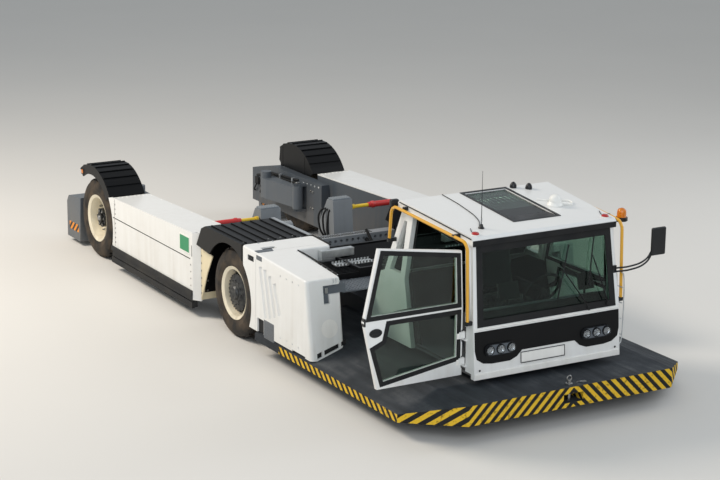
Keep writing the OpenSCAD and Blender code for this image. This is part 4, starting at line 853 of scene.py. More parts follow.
class TRACTOR_OT_cab_front(bpy.types.Operator):
    """Build the screen's black border, the wipers, the lamp panels, the blank plate and the strips of the cab's front"""
    bl_idname = "tractor.cab_front"
    bl_label = "Cab Front"

    def execute(self, context):
        bm = bmesh.new()
        border(bm, [front(-0.815, 0.965, 0.004), front(0.815, 0.965, 0.004), front(0.785, 1.737, 0.004), front(-0.785, 1.737, 0.004)],
               0.068, (0, 0.006, 0), outset=False)
        # black band over the roof's front face, above the screen
        block(bm, at(-0.838, ROOF_FRONT - 0.006, 1.7405), at(0.838, ROOF_FRONT + 0.004, 1.797), 0.003)
        # wiper arms, their pivots and their blades
        for foot, tip, blade in (((0.71, 1.00), (0.545, 1.50), ((0.50, 1.20), (0.585, 1.68))),
                                 ((0.48, 0.985), (0.20, 1.38), ((0.12, 1.12), (0.28, 1.63)))):
            rod(bm, front(*foot, -0.01), front(*foot, 0.026), 0.020, 20, width=0.003)
            hose(bm, [front(*foot, 0.022), front((foot[0] + tip[0]) / 2, (foot[1] + tip[1]) / 2, 0.034), front(*tip, 0.024)], 0.0065, 8)
            hose(bm, [front(*blade[0], 0.007), front(*tip, 0.012), front(*blade[1], 0.007)], 0.007, 8)
        keep(bm, "screen_border", "trim_rubber")
        # pale strips above and below the lamp panels
        bm = bmesh.new()
        block(bm, front(-0.84, 0.942, 0.010), front(0.84, 0.958, -0.01), 0.004)
        block(bm, front(-0.85, 0.462, 0.008), front(0.85, 0.52, -0.01), 0.004)
        keep(bm, "front_strips", "plate_white")
        # dark panel with a round-ended lobe under each lamp cluster
        bm = bmesh.new()
        outline = [front(x, z, 0.006) for x, z in (
            (-0.85, 0.925), (-0.85, 0.74), (-0.83, 0.66), (-0.76, 0.615), (-0.66, 0.60), (-0.45, 0.60), (-0.37, 0.63), (-0.31, 0.685),
            (0.31, 0.685), (0.37, 0.63), (0.45, 0.60), (0.66, 0.60), (0.76, 0.615), (0.83, 0.66), (0.85, 0.74), (0.85, 0.925))]
        plate(bm, outline, (0, 0.008, 0), 0.003)
        piece = keep(bm, "lamp_panel", "fender_enamel")
        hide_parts("headlamps")
        out = (front(0, 0.735, 1.0) - front(0, 0.735)).normalized()
        parts = {key: bmesh.new() for key in ("housing", "reflector", "lens", "bezel", "rim")}
        for side in (-1, 1):
            middle_x = side * 0.565
            ends = [front(middle_x + dx + 0.0585 * math.cos(a), 0.735 + 0.0585 * math.sin(a), 0.007)
                    for dx, first in ((0.122, -90), (-0.122, 90))
                    for a in [math.radians(first + 18 * i) for i in range(11)]]
            border(parts["rim"], ends, 0.007, out * 0.016, outset=False)
            plate(parts["housing"], [p + (front(middle_x, 0.735) - p) * 0.02 for p in ends], out * 0.008)
            for i in (-1, 0, 1):
                p = front(middle_x + 0.122 * i, 0.735, 0.012)
                lathe(parts["bezel"], p, out, [(0.0, 0.036), (0.016, 0.041), (0.019, 0.0455), (0.014, 0.048), (0.0, 0.048)], 32)
                lathe(parts["reflector"], p, out, [(0.0005, 0), (0.001, 0.012), (0.006, 0.026), (0.014, 0.038), (0.004, 0.039), (0.0, 0.03), (0, 0)], 32)
                lathe(parts["lens"], p, out, [(0.0165, 0), (0.0165, 0.038), (0.014, 0.039), (0.0175, 0.0385), (0.021, 0.025), (0.0225, 0)], 32)
        keep(parts["housing"], "lamp_housings", "tail_enamel")
        keep(parts["reflector"], "lamp_reflectors", "plated_chrome")
        keep(parts["lens"], "lamp_lenses", "clear_lens")
        keep(parts["bezel"], "lamp_bezels", "black_plastic")
        keep(parts["rim"], "lamp_rims", "lamp_housing")
        bm = bmesh.new()
        plate(bm, [front(x, z, 0.006) for x, z in ((-0.32, 0.565), (0.18, 0.565), (0.18, 0.655), (-0.32, 0.655))], (0, -0.003, 0), 0.001)
        keep(bm, "name_plate_blank", "plate_white")
        bm = bmesh.new()
        border(bm, [front(x, z, 0.006) for x, z in ((-0.325, 0.56), (0.185, 0.56), (0.185, 0.66), (-0.325, 0.66))], 0.005, (0, -0.004, 0))
        bolts(bm, [front(x, z, 0.004) for x in (-0.80, 0.80) for z in (0.55, 0.50)], out, 0.008, 0.005)
        keep(bm, "plate_frame", "trim_rubber")
        # bright pin in the bumper's notch with its chain
        bm = bmesh.new()
        hose(bm, [at(0.09, DECK_FRONT + 0.085, 0.395), at(0.13, DECK_FRONT + 0.10, 0.394), at(0.17, DECK_FRONT + 0.08, 0.394)], 0.004, 8)
        block(bm, at(0.15, DECK_FRONT + 0.06, 0.39), at(0.20, DECK_FRONT + 0.10, 0.398), 0.003)
        keep(bm, "pin_chain", "bare_steel")
        return {"FINISHED"}


class TRACTOR_OT_doors(bpy.types.Operator):
    """Build the doors' black borders, handle dishes, levers, grab bars and latches"""
    bl_idname = "tractor.doors"
    bl_label = "Door Trim"

    def execute(self, context):
        seal = context.scene.tractor.seal_width
        for tag, turn in DOORS:
            rows = []
            bm = bmesh.new()
            for pane in (UPPER_PANE, LOWER_PANE):
                border(bm, [at(-0.8702, y, z) for y, z in pane], seal, (-0.003, 0, 0))
                border(bm, [at(-0.8278, y, z) for y, z in pane], seal * 0.8, (0.003, 0, 0))
            # inner lining between the panes and the pull bar
            hose(bm, [at(-0.820, -3.39, 1.17), at(-0.775, -3.30, 1.165), at(-0.775, -2.75, 1.165), at(-0.820, -2.66, 1.17)], 0.013)
            rows.append((bm, "door_seals_", "trim_rubber", "rail_black"))
            # oval dish of the handle in its corner, with the lever
            bm = bmesh.new()
            ring = [at(-0.8705, -2.478 + 0.068 * math.cos(math.tau * i / 28), 1.025 + 0.042 * math.sin(math.tau * i / 28)) for i in range(28)]
            border(bm, ring, 0.010, (-0.006, 0, 0), outset=False)
            plate(bm, ring, (-0.0015, 0, 0))
            block(bm, at(-0.880, -2.53, 1.016), at(-0.8715, -2.43, 1.034), 0.004)
            block(bm, at(-0.872, -2.372, 1.10), at(-0.83, -2.352, 1.18), 0.004)
            rows.append((bm, "door_handle_", "black_plastic", "mirror_black"))
            bm = bmesh.new()
            for z in (0.60, 0.86):
                block(bm, at(-0.8745, -3.45, z - 0.028), at(-0.8702, -3.375, z + 0.028), 0.002)
                bolts(bm, [at(-0.8745, -3.43 + 0.035 * i, z) for i in range(2)], (-1, 0, 0), 0.008, 0.004)
            rows.append((bm, "door_straps_", "plate_white", "body_white"))
            for shape, stem, paint, slot in rows:
                bmesh.ops.transform(shape, matrix=turn, verts=shape.verts)
                keep(shape, stem + tag, paint, "door_" + tag)
        # rubber seals round the door ways and the fixed side panes
        bm = bmesh.new()
        for s in (-1, 1):
            way = [at(s * 0.8205, y, z) for y, z in ((-3.42, 0.50), (-2.52, 0.50), (-2.385, 1.14), (-2.53, 1.79), (-3.37, 1.71), (-3.42, 1.14))]
            hose(bm, way, 0.007, 8, close=True, corner="VECTOR")
        keep(bm, "doorway_seals", "trim_rubber")
        return {"FINISHED"}


class TRACTOR_OT_roof(bpy.types.Operator):
    """Build the roof's lamps, beacon, domes, aerial, gutter and the frame of the roof window"""
    bl_idname = "tractor.roof"
    bl_label = "Roof"

    def execute(self, context):
        tilt = (roof(0, ROOF_BACK) - roof(0, ROOF_FRONT)).normalized()
        up = Vector((1, 0, 0)).cross(tilt).normalized()
        parts = {key: bmesh.new() for key in ("black", "red", "amber", "white", "steel")}
        for x in (-0.76, 0.76):
            p = roof(x, ROOF_FRONT + 0.08)
            lathe(parts["white"], p, up, [(0.0003, 0), (0.0003, 0.044), (0.006, 0.045), (0.008, 0.040), (0.008, 0)], 32)
            lathe(parts["red"], p, up, [(0.0075, 0), (0.0075, 0.038), (0.016, 0.036), (0.023, 0.028), (0.026, 0.014), (0.026, 0)], 32)
            hose(parts["black"], [p + Vector((0, 0.04, 0.004)), p + Vector((0.02, 0.10, 0.012)), p + Vector((0.05, 0.16, 0.018))], 0.004, 8)
        # beacon on its arm ahead of the handrail
        foot = at(1.0, -3.395, 1.7575)
        block(parts["black"], at(0.836, -3.425, 1.757), at(1.0, -3.365, 1.7745), 0.004)
        lathe(parts["black"], foot, (0, 0, 1), [(0, 0), (0, 0.058), (0.004, 0.062), (0.034, 0.062), (0.040, 0.056), (0.040, 0)], 32)
        lathe(parts["amber"], foot, (0, 0, 1), [(0.0402, 0), (0.0402, 0.050), (0.046, 0.050), (0.048, 0.047), (0.066, 0.0465), (0.068, 0.049),
                                                (0.070, 0.0465), (0.090, 0.046), (0.108, 0.043), (0.122, 0.032), (0.129, 0.014), (0.130, 0)], 40)
        # work lamp at the rear end of the right rail
        p = at(-0.905, -2.20, 1.895)
        block(parts["black"], p - Vector((0.045, 0.03, 0.035)), p + Vector((0.045, 0.025, 0.040)), 0.014, segments=3)
        rod(parts["steel"], p + Vector((0, 0.024, 0)), p + Vector((0, 0.028, 0)), 0.026, 24)
        rod(parts["black"], p - Vector((0, 0, 0.07)), p - Vector((0, 0, 0.03)), 0.009, 10)
        # white dome with its looped lead, and the two black domes behind
        p = roof(0.50, -2.96)
        lathe(parts["white"], p, up, [(0.0003, 0), (0.0003, 0.078), (0.010, 0.080), (0.016, 0.074), (0.042, 0.060), (0.048, 0.063), (0.070, 0.060),
                                      (0.092, 0.048), (0.106, 0.028), (0.110, 0)], 40)
        hose(parts["white"], [roof(0.57, -2.97, 0.012), roof(0.64, -3.02, 0.012), roof(0.70, -2.98, 0.011), roof(0.69, -2.90, 0.011),
                              roof(0.62, -2.87, 0.011), roof(0.52, -2.84, 0.011), roof(0.42, -2.76, 0.011)], 0.007, 8)
        for x, y in ((0.56, -2.42), (0.43, -2.33)):
            lathe(parts["black"], roof(x, y), up, [(0.0003, 0), (0.0003, 0.035), (0.012, 0.036), (0.030, 0.033), (0.050, 0.022), (0.060, 0.008), (0.060, 0)], 28)
        # whip aerial: foot, spring and rod
        low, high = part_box("roof_fittings")
        p = roof(-0.60, -3.30)
        lathe(parts["black"], p, up, [(0.0003, 0), (0.0003, 0.030), (0.008, 0.030), (0.020, 0.018), (0.040, 0.012), (0.040, 0)], 24)
        rod(parts["black"], p + Vector((0, 0, 0.034)), Vector((p.x, p.y, high[2])), 0.0042, 10, 0.0018)
        coil = [p + Vector((0.008 * math.cos(i * 1.2), 0.008 * math.sin(i * 1.2), 0.04 + i * 0.0016)) for i in range(40)]
        hose(parts["steel"], coil, 0.0018, 6)
        # dark blind under the roof window's glass, its frame, folds and the gutters
        block(parts["black"], roof(-0.165, ROOF_FRONT + 0.295, -0.082), roof(0.325, ROOF_BACK - 0.085, -0.078), 0)
        corners = ((-0.17, ROOF_FRONT + 0.29), (0.33, ROOF_FRONT + 0.29), (0.33, ROOF_BACK - 0.08), (-0.17, ROOF_BACK - 0.08))
        border(parts["black"], [roof(x, y, 0.0003) for x, y in corners], 0.030, (0, 0, 0.006))
        for i in range(9):
            x = -0.145 + 0.05625 * i
            hose(parts["steel"], [roof(x + 0.008 * (k % 2), ROOF_FRONT + 0.31 + 0.098 * k, -0.055) for k in range(9)], 0.004, 6)
        for s in (-1, 1):
            hose(parts["black"], [at(s * 0.847, ROOF_FRONT + 0.02, 1.812), at(s * 0.868, -2.90, 1.868), at(s * 0.888, ROOF_BACK - 0.03, 1.917)], 0.006, 8)
        hose(parts["black"], [roof(-0.60, -3.27, 0.006), roof(-0.50, -3.10, 0.005), roof(-0.42, -2.70, 0.005), roof(-0.40, -2.29, 0.005)], 0.004, 8)
        rows = (("black", "roof_trim", "black_plastic", "mirror_black"), ("red", "marker_lenses", "red_lens", "roof_fitting"),
                ("amber", "beacon_lens", "amber_lens", "roof_fitting"), ("white", "roof_dome", "white_plastic", "body_white"),
                ("steel", "roof_wires", "galvanised_steel", "steel_dark"))
        for key, name, paint, slot in rows:
            piece = keep(parts[key], name, paint)
            if key == "amber":
                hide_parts("roof_fittings")
        return {"FINISHED"}


class TRACTOR_OT_mirror(bpy.types.Operator):
    """Build the left mirror with its rounded shell, glass and double arm, and the rails' brackets"""
    bl_idname = "tractor.mirror"
    bl_label = "Mirror and Rail Brackets"

    def execute(self, context):
        bm = bmesh.new()
        block(bm, at(1.0755, -3.804, 1.4805), at(1.2445, -3.766, 1.7595), 0.016, segments=4)
        lens = bmesh.new()
        block(lens, at(1.088, -3.7665, 1.496), at(1.232, -3.763, 1.744), 0.0015)
        for dz in (0, 0.035):
            hose(bm, [at(0.83, -3.565, 1.30 + dz), at(0.93, -3.66, 1.33 + dz), at(1.04, -3.738, 1.395 + dz), at(1.095, -3.757, 1.47 + dz),
                      at(1.12, -3.762, 1.56 + dz)], 0.009)
        for z in (1.52, 1.60):
            block(bm, at(1.10, -3.768, z - 0.015), at(1.145, -3.748, z + 0.015), 0.005)
        block(bm, front(0.792, 1.285, 0.004), front(0.842, 1.36, -0.02), 0.004)
        piece = keep(bm, "mirror_shell", "black_plastic")
        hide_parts("mirrors")
        keep(lens, "mirror_face", "mirror_glass")
        bm = bmesh.new()
        for s in (-1, 1):
            for y in (ROOF_FRONT + 0.22, ROOF_BACK - 0.16):
                z = 1.78 + 0.11 * (y - ROOF_FRONT) / (ROOF_BACK - ROOF_FRONT)
                block(bm, at(s * 0.842, y - 0.022, z - 0.012), at(s * 0.925, y + 0.022, z + 0.022), 0.006)
            block(bm, at(s * 0.850, -3.578, 0.990), at(s * 0.925, -3.540, 1.030), 0.006)
            block(bm, at(s * 0.850, -2.185, 1.495), at(s * 0.955, -2.150, 1.535), 0.006)
        keep(bm, "rail_brackets", "black_plastic")
        # rungs on the left front pillar
        bm = bmesh.new()
        for y in (-3.615, -3.50):
            hose(bm, [at(0.862, y, 0.56), at(0.885, y, 0.58), at(0.885, y, 1.28), at(0.862, y, 1.30)], 0.006, 8)
        for z in (0.66, 0.82, 0.98, 1.14):
            rod(bm, at(0.885, -3.615, z), at(0.885, -3.50, z), 0.005, 10)
        keep(bm, "pillar_rungs", "galvanised_steel")
        return {"FINISHED"}


def puffed(name, bm, cap):
    """Fills a soft shape with cloth pressure, limits how far it swells and smooths it once."""
    mesh = bpy.data.meshes.new(name)
    bmesh.ops.recalc_face_normals(bm, faces=bm.faces)
    bm.to_mesh(mesh)
    bm.free()
    piece = bpy.data.objects.new(name, mesh)
    scene = bpy.context.scene
    scene.collection.objects.link(piece)
    remesh = piece.modifiers.new("remesh", "REMESH")
    remesh.mode, remesh.voxel_size = "VOXEL", 0.006
    graph = bpy.context.evaluated_depsgraph_get()
    fine = bpy.data.meshes.new_from_object(piece.evaluated_get(graph))
    piece.modifiers.clear()
    piece.data = fine
    before = [v.co.copy() for v in fine.vertices]
    cloth = piece.modifiers.new("cloth", "CLOTH")
    cloth.settings.use_pressure = True
    cloth.settings.uniform_pressure_force = 4.0
    cloth.settings.effector_weights.gravity = 0.0
    for step in range(1, 21):
        scene.frame_set(step)
    moved = bpy.data.meshes.new_from_object(piece.evaluated_get(bpy.context.evaluated_depsgraph_get()))
    scene.frame_set(1)
    piece.modifiers.clear()
    for vert, old in zip(moved.vertices, before):
        shift = vert.co - old
        if shift.length > cap:
            vert.co = old + shift.normalized() * cap
    piece.data = moved
    shape = bmesh.new()
    shape.from_mesh(piece.data)
    bpy.data.objects.remove(piece)
    for _ in range(3):
        bmesh.ops.smooth_vert(shape, verts=shape.verts, factor=0.5, use_axis_x=True, use_axis_y=True, use_axis_z=True)
    made = keep(shape, name, "seat_cloth", angle=60)
    return made


class TRACTOR_OT_seat(bpy.types.Operator):
    """Build the driver's seat: padded cushion, back and headrest on a pedestal with its bellows"""
    bl_idname = "tractor.seat"
    bl_label = "Driver's Seat"

    def execute(self, context):
        cushion = bmesh.new()
        block(cushion, at(0.035, -2.78, 0.775), at(0.465, -2.33, 0.855), 0.035, segments=4)
        cushion = puffed("seat_cushion", cushion, 0.024)
        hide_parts("seat")
        back = bmesh.new()
        plate(back, [at(0.045, y, z) for y, z in ((-2.385, 0.885), (-2.315, 0.885), (-2.228, 1.375), (-2.298, 1.385))], (0.41, 0, 0), 0.030)
        puffed("seat_back", back, 0.022)
        rest = bmesh.new()
        plate(rest, [at(0.145, y, z) for y, z in ((-2.288, 1.43), (-2.232, 1.425), (-2.212, 1.565), (-2.262, 1.572))], (0.21, 0, 0), 0.022)
        puffed("seat_headrest", rest, 0.018)
        bm = bmesh.new()
        block(bm, at(0.05, -2.74, 0.7305), at(0.45, -2.36, 0.762), 0.012)
        for i in range(5):
            block(bm, at(0.10, -2.69, 0.565 + i * 0.033), at(0.40, -2.39, 0.592 + i * 0.033), 0.012)
        block(bm, at(0.095, -2.69, 0.5105), at(0.405, -2.39, 0.566), 0.008)
        for x in (0.20, 0.30):
            rod(bm, at(x, -2.262, 1.37), at(x, -2.245, 1.46), 0.007, 10)
        for x in (0.0, 0.50):
            block(bm, at(x - 0.025, -2.62, 0.955), at(x + 0.025, -2.33, 0.99), 0.014, segments=3)
            rod(bm, at(x, -2.34, 0.80), at(x, -2.34, 0.965), 0.014, 12)
        keep(bm, "seat_pedestal", "cabin_plastic")
        return {"FINISHED"}


class TRACTOR_OT_cab_inside(bpy.types.Operator):
    """Build the screens, levers, wheel column and pedals that show through the panes"""
    bl_idname = "tractor.cab_inside"
    bl_label = "Inside the Cab"

    def execute(self, context):
        bm = bmesh.new()
        for x, w, z in ((-0.30, 0.24, 1.20), (0.62, 0.18, 1.18)):
            turn = Matrix.Rotation(math.radians(-20), 4, "X")
            block(bm, at(x - w / 2, -3.36, z - 0.085), at(x + w / 2, -3.33, z + 0.085), 0.008, turn)
            rod(bm, at(x, -3.34, 1.03), at(x, -3.34, z - 0.05), 0.012, 12)
        for x, y in ((-0.05, -2.75), (-0.11, -2.75), (-0.17, -2.75)):
            rod(bm, at(x, y, 0.78), at(x, y + 0.02, 0.90), 0.007, 10)
            lathe(bm, at(x, y + 0.02, 0.90), (0, 0, 1), [(0, 0), (0, 0.012), (0.010, 0.018), (0.026, 0.017), (0.034, 0.008), (0.034, 0)], 20)
        block(bm, at(-0.30, -2.95, 0.511), at(-0.02, -2.45, 0.78), 0.02)
        for x in (0.16, 0.34):
            block(bm, at(x - 0.04, -3.28, 0.56), at(x + 0.04, -3.20, 0.60), 0.006, Matrix.Rotation(math.radians(35), 4, "X"))
            rod(bm, at(x, -3.25, 0.57), at(x, -3.33, 0.66), 0.009, 10)
        # dark lining of the roof, the back wall and the sides
        for s in (-1, 1):
            plate(bm, [roof(s * x, y, -0.095) for x, y in ((0.79, -3.40), (0.79, -2.36), (0.35, -2.36), (0.35, -3.40))], (0, 0, -0.012), 0.003)
        plate(bm, [at(x, -1.7703, z) for x, z in ((-0.80, 0.52), (0.80, 0.52), (0.80, 1.02), (-0.80, 1.02))], (0, -0.01, 0), 0.003)
        plate(bm, [at(x, *yz) for x, yz in ((-0.80, (-2.02, 1.135)), (0.80, (-2.02, 1.135)), (0.80, (-2.12, 1.34)), (-0.80, (-2.12, 1.34)))], (0, -0.012, 0), 0.003)
        for s in (-1, 1):
            plate(bm, [at(s * 0.808, y, z) for y, z in ((-2.60, 0.515), (-1.79, 0.515), (-1.79, 1.0), (-2.10, 1.13), (-2.40, 1.13))], (-s * 0.008, 0, 0), 0.002)
        keep(bm, "cab_controls", "black_plastic")
        bm = bmesh.new()
        for x, w, z in ((-0.30, 0.20, 1.20), (0.62, 0.15, 1.18)):
            block(bm, at(x - w / 2, -3.3315, z - 0.062), at(x + w / 2, -3.3285, z + 0.072), 0.001, Matrix.Rotation(math.radians(-20), 4, "X"))
        keep(bm, "cab_screens", "tinted_glass")
        # pale edge along the dashboard's top
        bm = bmesh.new()
        block(bm, at(-0.75, -3.452, 1.0655), at(0.50, -3.425, 1.084), 0.004)
        keep(bm, "dashboard_edge", "step_grey")
        return {"FINISHED"}


class TRACTOR_OT_engine_bay(bpy.types.Operator):
    """Build the slatted grille, the walkway's treads, the boxes, the filter and the hoses behind the cab"""
    bl_idname = "tractor.engine_bay"
    bl_label = "Grille and Engine Bay"

    def execute(self, context):
        count = context.scene.tractor.slats
        bm = bmesh.new()
        for x0, x1, y0, y1 in ((-0.79, 0.79, -1.335, -0.42),):
            border(bm, [at(x0, y0, 0.9003), at(x1, y0, 0.9003), at(x1, y1, 0.9003), at(x0, y1, 0.9003)], 0.030, (0, 0, 0.0997), outset=False)
            step = (y1 - y0 - 0.06) / count
            for i in range(count):
                y = y0 + 0.03 + step * (i + 0.5)
                block(bm, at(x0 + 0.028, y - 0.003, 0.935), at(x1 - 0.028, y + 0.003, 0.985), 0, Matrix.Rotation(math.radians(-38), 4, "X"))
            for x in (-0.40, 0.0, 0.40):
                block(bm, at(x - 0.006, y0 + 0.028, 0.930), at(x + 0.006, y1 - 0.028, 0.952), 0)
        for s in (-1, 1):
            block(bm, at(s * 1.19, -1.335, 0.9003), at(s * 0.793, -0.78, 0.965), 0.006)
            for i in range(12):
                y = -1.31 + i * 0.043
                block(bm, at(s * 1.175, y - 0.003, 0.962), at(s * 0.81, y + 0.003, 0.975), 0)
        piece = keep(bm, "bay_grille", "fender_enamel")
        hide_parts("top_grille")
        # walkway: perforated treads with turned-up teeth, and a ledge over the frame
        bm = bmesh.new()
        for s in (-1, 1):
            block(bm, at(s * 1.205, -1.717, 0.885), at(0, -1.345, 0.9), 0.002)
            block(bm, at(s * 0.44, -1.719, 0.3905), at(s * 0.56, -1.65, 0.886), 0.003)
            for i in range(30):
                for k in range(8):
                    p = at(s * (0.033 + i * 0.039), -1.695 + k * 0.046, 0.9)
                    rod(bm, p, p + Vector((0, 0, 0.008)), 0.009, 8, 0.006)
        piece = keep(bm, "walkway_treads", "tail_enamel")
        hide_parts("walkway")
        # turned-up grip plates over the grille
        bm = bmesh.new()
        for s in (-1, 1):
            block(bm, at(s * 0.93, -1.12, 0.9755), at(s * 0.47, -1.00, 0.985), 0.002)
            for i in range(12):
                x = 0.485 + i * 0.039
                for y in (-1.118, -1.005):
                    block(bm, at(s * x, y - 0.002, 0.985), at(s * (x + 0.022), y + 0.002, 1.008), 0)
                rod(bm, at(s * (x + 0.01), -1.06, 0.985), at(s * (x + 0.01), -1.06, 0.993), 0.010, 8, 0.007)
        keep(bm, "grip_plates", "galvanised_steel")
        bm = bmesh.new()
        for s in (-1, 1):
            block(bm, at(s * 0.97, -0.850, 1.0003), at(s * 0.57, -0.772, 1.085), 0.006)
            bolts(bm, [at(s * x, -0.81, 1.085) for x in (0.60, 0.70, 0.80, 0.90, 0.94)], (0, 0, 1), 0.007, 0.004)
            bolts(bm, [at(s * x, -0.850, z) for x in (0.60, 0.70, 0.80, 0.90, 0.94) for z in (1.02, 1.065)], (0, -1, 0), 0.006, 0.004)
            block(bm, at(s * 0.97, -0.846, 0.9655), at(s * 0.80, -0.776, 1.001), 0.004)
        keep(bm, "riveted_boxes", "galvanised_steel")
        # filter box and cylinder on the cross beam, with clamps
        bm = bmesh.new()
        block(bm, at(-0.78, 0.565, 0.8003), at(-0.52, 0.695, 0.955), 0.012)
        lathe(bm, at(-0.79, 0.63, 0.99), (1, 0, 0), [(0.02, 0), (0.02, 0.050), (0.03, 0.060), (0.10, 0.060), (0.104, 0.066), (0.118, 0.066), (0.122, 0.060),
                                                     (0.24, 0.060), (0.25, 0.048), (0.25, 0)], 36)
        bolts(bm, [at(x, 0.63, 0.8003) for x in (-0.46, -0.28, -0.10, 0.10, 0.28, 0.46)], (0, 0, 1), 0.014, 0.012)
        keep(bm, "beam_filter", "bay_enamel")
        bm = bmesh.new()
        for i in range(34):
            x = -0.50 + i * 0.030
            block(bm, at(x, 0.590, 0.8), at(x + 0.006, 0.670, 0.806), 0)
        for z, r, bend in ((0.62, 0.022, 0.0), (0.56, 0.018, 0.06), (0.68, 0.016, -0.05)):
            hose(bm, [at(-0.42 + bend, -0.478, z), at(-0.46 + bend, -0.30, z + 0.06), at(-0.50 + bend, 0.10, z + 0.02), at(-0.45, 0.40, z), at(-0.40, 0.561, z + 0.12 - bend)], r)
            hose(bm, [at(0.42 - bend, -0.478, z), at(0.46 - bend, -0.30, z + 0.06), at(0.50 - bend, 0.10, z + 0.02), at(0.45, 0.40, z), at(0.40, 0.561, z + 0.12 - bend)], r)
        hose(bm, [at(-0.56, 0.62, 0.955), at(-0.55, 0.62, 1.0), at(-0.50, 0.60, 0.93), at(-0.46, 0.60, 0.80)], 0.014)
        for x in (-0.20, 0.05, 0.24):
            hose(bm, [at(x, -0.481, 0.82), at(x, -0.41, 0.86), at(x + 0.02, -0.36, 0.80), at(x + 0.02, -0.30, 0.60), at(x, -0.10, 0.585)], 0.017)
        keep(bm, "bay_hoses", "trim_rubber")
        bm = bmesh.new()
        for i in range(6):
            block(bm, at(-0.34 + i * 0.13, -0.485, 0.62), at(-0.27 + i * 0.13, -0.474, 0.80), 0.004)
            bolts(bm, [at(-0.305 + i * 0.13, -0.474, z) for z in (0.64, 0.78)], (0, 1, 0), 0.012, 0.010)
        lathe(bm, at(0.0, -0.482, 0.70), (0, 1, 0), [(0, 0), (0, 0.13), (0.02, 0.13), (0.028, 0.12), (0.034, 0.06), (0.06, 0.055), (0.06, 0)], 36)
        keep(bm, "engine_fittings", "engine_enamel")
        return {"FINISHED"}


class TRACTOR_OT_rear_bay(bpy.types.Operator):
    """Build the red and yellow lifting rams, the stops' hoses and the signs inside the rear bay"""
    bl_idname = "tractor.rear_bay"
    bl_label = "Rear Bay"

    def execute(self, context):
        for s, tag in HANDS:
            bm = bmesh.new()
            lathe(bm, at(s * 1.181, 1.29, 0.935), (-s, 0, 0), [(0, 0), (0, 0.030), (0.01, 0.036), (0.24, 0.036), (0.25, 0.042), (0.28, 0.042), (0.285, 0.034),
                                                                (0.33, 0.030), (0.33, 0)], 28)
            keep(bm, "side_ram_" + tag, "signal_red")
            bm = bmesh.new()
            lathe(bm, at(s * 0.851, 1.29, 0.935), (-s, 0, 0), [(0, 0), (0, 0.022), (0.19, 0.022), (0.19, 0.03), (0.223, 0.03), (0.223, 0)], 24)
            keep(bm, "side_ram_rod_" + tag, "signal_yellow")
            rows = []
            bm = bmesh.new()
            top = 1.0405
            block(bm, at(-0.600, 1.265, top), at(-0.36, 1.385, top + 0.018), 0.004)
            for k in range(7):
                block(bm, at(-0.59 + k * 0.034, 1.275, top + 0.018), at(-0.582 + k * 0.034, 1.375, top + 0.024), 0)
            rows.append((bm, "stop_cap_", "step_grey", "steel_dark"))
            bm = bmesh.new()
            for k, r in ((0, 0.014), (1, 0.012), (2, 0.012)):
                x = -0.355 + 0.03 * k
                hose(bm, [at(-0.352, 1.32 + 0.05 * k, 0.92), at(x, 1.34 + 0.05 * k, 0.90), at(x + 0.02, 1.36 + 0.04 * k, 0.70), at(-0.340, 1.33 + 0.05 * k, 0.56)], r)
            rows.append((bm, "stop_hoses_", "trim_rubber", "steel_dark"))
            for shape, stem, paint, slot in rows:
                if s > 0:
                    other_side(shape)
                keep(shape, stem + tag, paint, "cradle")
            rows = []
            bm = bmesh.new()
            bolts(bm, [at(-1.070, 3.05 + 0.06 * i, z) for i in range(2) for z in (0.48, 0.70)], (1, 0, 0), 0.014, 0.012)
            rod(bm, at(-0.985, 3.3035, 0.772), at(-0.985, 3.3035, 0.790), 0.03, 20, width=0.004)
            rows.append((bm, "gate_lug_bolts_", "bare_steel", "steel_dark"))
            for shape, stem, paint, slot in rows:
                if s > 0:
                    other_side(shape)
                keep(shape, stem + tag, paint, CHASSIS)
        # blank round sign on the left wall
        bm = bmesh.new()
        lathe(bm, at(1.0695, 4.05, 0.60), (-1, 0, 0), [(0, 0), (0.001, 0.072), (0.003, 0.074), (0.004, 0.072), (0.004, 0)], 36)
        keep(bm, "wall_sign", "plate_white")
        return {"FINISHED"}


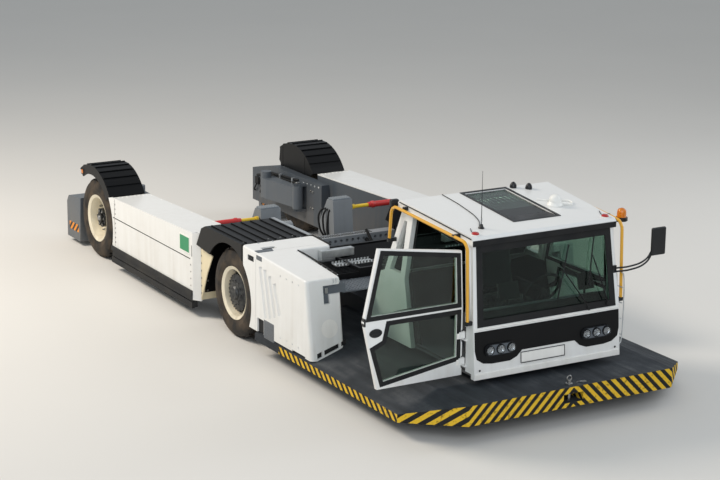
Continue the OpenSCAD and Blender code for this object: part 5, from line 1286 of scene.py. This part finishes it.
class TRACTOR_OT_stage(bpy.types.Operator):
    """Set the studio: floor, lamps, world and the camera at the photograph's angle"""
    bl_idname = "tractor.stage"
    bl_label = "Stage"

    def execute(self, context):
        scene = context.scene
        bm = bmesh.new()
        bmesh.ops.create_grid(bm, x_segments=1, y_segments=1, size=60)
        mesh = bpy.data.meshes.new("floor")
        bm.to_mesh(mesh)
        bm.free()
        floor = bpy.data.objects.new("floor", mesh)
        scene.collection.objects.link(floor)
        # matt studio floor: even, pale and faintly mottled
        made, tree, shader, coords = start("studio_floor", Roughness=0.9, Specular_IOR_Level=0.2)
        pale = tuple(scene.tractor.floor_colour)
        mottle = add(tree, "ShaderNodeTexNoise", {"Vector": coords, "Scale": 0.4, "Detail": 4.0})
        dim = tuple(c * 0.96 for c in pale[:3]) + (1.0,)
        add(tree, "ShaderNodeMix", {0: mottle, 6: dim, 7: pale}, out=2, into=shader["Base Color"], data_type="RGBA")
        mesh.materials.append(made)
        world = bpy.data.worlds.new("studio")
        scene.world = world
        world.use_nodes = True
        sky = world.node_tree.nodes["Background"]
        sky.inputs["Color"].default_value = linear("E6ECF2")
        sky.inputs["Strength"].default_value = 0.55
        # name, place, target, size, watts, colour
        lamps = (("key", at(-9.0, 6.0, 10.0), at(0, 0, 0.6), 5.0, 1500.0, "FFF4E6"),
                 ("front", at(-6.0, -14.0, 7.0), at(0, -1, 0.6), 8.0, 750.0, "EEF3FA"),
                 ("right", at(11.0, -3.0, 7.0), at(0, 0, 0.6), 8.0, 420.0, "F2F6FB"))
        for name, place, target, size, watts, colour in lamps:
            data = bpy.data.lights.new(name, "AREA")
            data.shape = "DISK"
            data.size, data.energy, data.color = size, watts, linear(colour)[:3]
            lamp = bpy.data.objects.new(name, data)
            lamp.location = place
            lamp.rotation_euler = (target - place).to_track_quat("-Z", "Y").to_euler()
            scene.collection.objects.link(lamp)
        # camera, solved from the photograph at 720 by 480
        yaw, pitch, roll, focus, centre = 0.529, -0.253, 0.011, 1943.5, (360.2, 237.1)
        forward = Vector((math.sin(yaw) * math.cos(pitch), math.cos(yaw) * math.cos(pitch), math.sin(pitch)))
        level = Vector((math.cos(yaw), -math.sin(yaw), 0))
        upward = level.cross(forward)
        right = level * math.cos(roll) + upward * math.sin(roll)
        up = upward * math.cos(roll) - level * math.sin(roll)
        data = bpy.data.cameras.new("camera")
        data.sensor_width, data.lens = 36.0, focus * 36.0 / 720.0
        data.shift_x, data.shift_y = (360.0 - centre[0]) / 720.0, (centre[1] - 240.0) / 720.0
        data.clip_end = 300.0
        camera = bpy.data.objects.new("camera", data)
        scene.collection.objects.link(camera)
        camera.matrix_world = Matrix.Translation(at(-10.640, -18.195, 6.382)) @ Matrix((right, up, -forward)).transposed().to_4x4()
        scene.camera = camera
        scene.view_settings.view_transform = "Standard"
        return {"FINISHED"}


class TRACTOR_PT_panel(bpy.types.Panel):
    """Lists the tractor's builders"""
    bl_label = "Pushback Tractor"
    bl_idname = "TRACTOR_PT_panel"
    bl_space_type = "VIEW_3D"
    bl_region_type = "UI"
    bl_category = "Tractor"

    def draw(self, context):
        settings = context.scene.tractor
        for prop in ("tread_depth", "tread_steps", "hub_teeth", "bolt_radius", "stripe_width", "seal_width", "slats", "floor_colour"):
            self.layout.prop(settings, prop)
        for step in STEPS:
            self.layout.operator(step.bl_idname)


STEPS = (TRACTOR_OT_finishes, TRACTOR_OT_tyres, TRACTOR_OT_wheels, TRACTOR_OT_side_boxes, TRACTOR_OT_side_fittings,
         TRACTOR_OT_cab_front, TRACTOR_OT_doors, TRACTOR_OT_roof, TRACTOR_OT_mirror, TRACTOR_OT_seat, TRACTOR_OT_cab_inside,
         TRACTOR_OT_engine_bay, TRACTOR_OT_rear_bay, TRACTOR_OT_stage)
CLASSES = (TractorSettings,) + STEPS + (TRACTOR_PT_panel,)


def register():
    for cls in CLASSES:
        bpy.utils.register_class(cls)
    bpy.types.Scene.tractor = PointerProperty(type=TractorSettings)


def unregister():
    del bpy.types.Scene.tractor
    for cls in reversed(CLASSES):
        bpy.utils.unregister_class(cls)


def main():
    """Registers the add-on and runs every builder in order."""
    register()
    for step in STEPS:
        group, name = step.bl_idname.split(".")
        getattr(getattr(bpy.ops, group), name)()


if __name__ == "__main__":
    main()
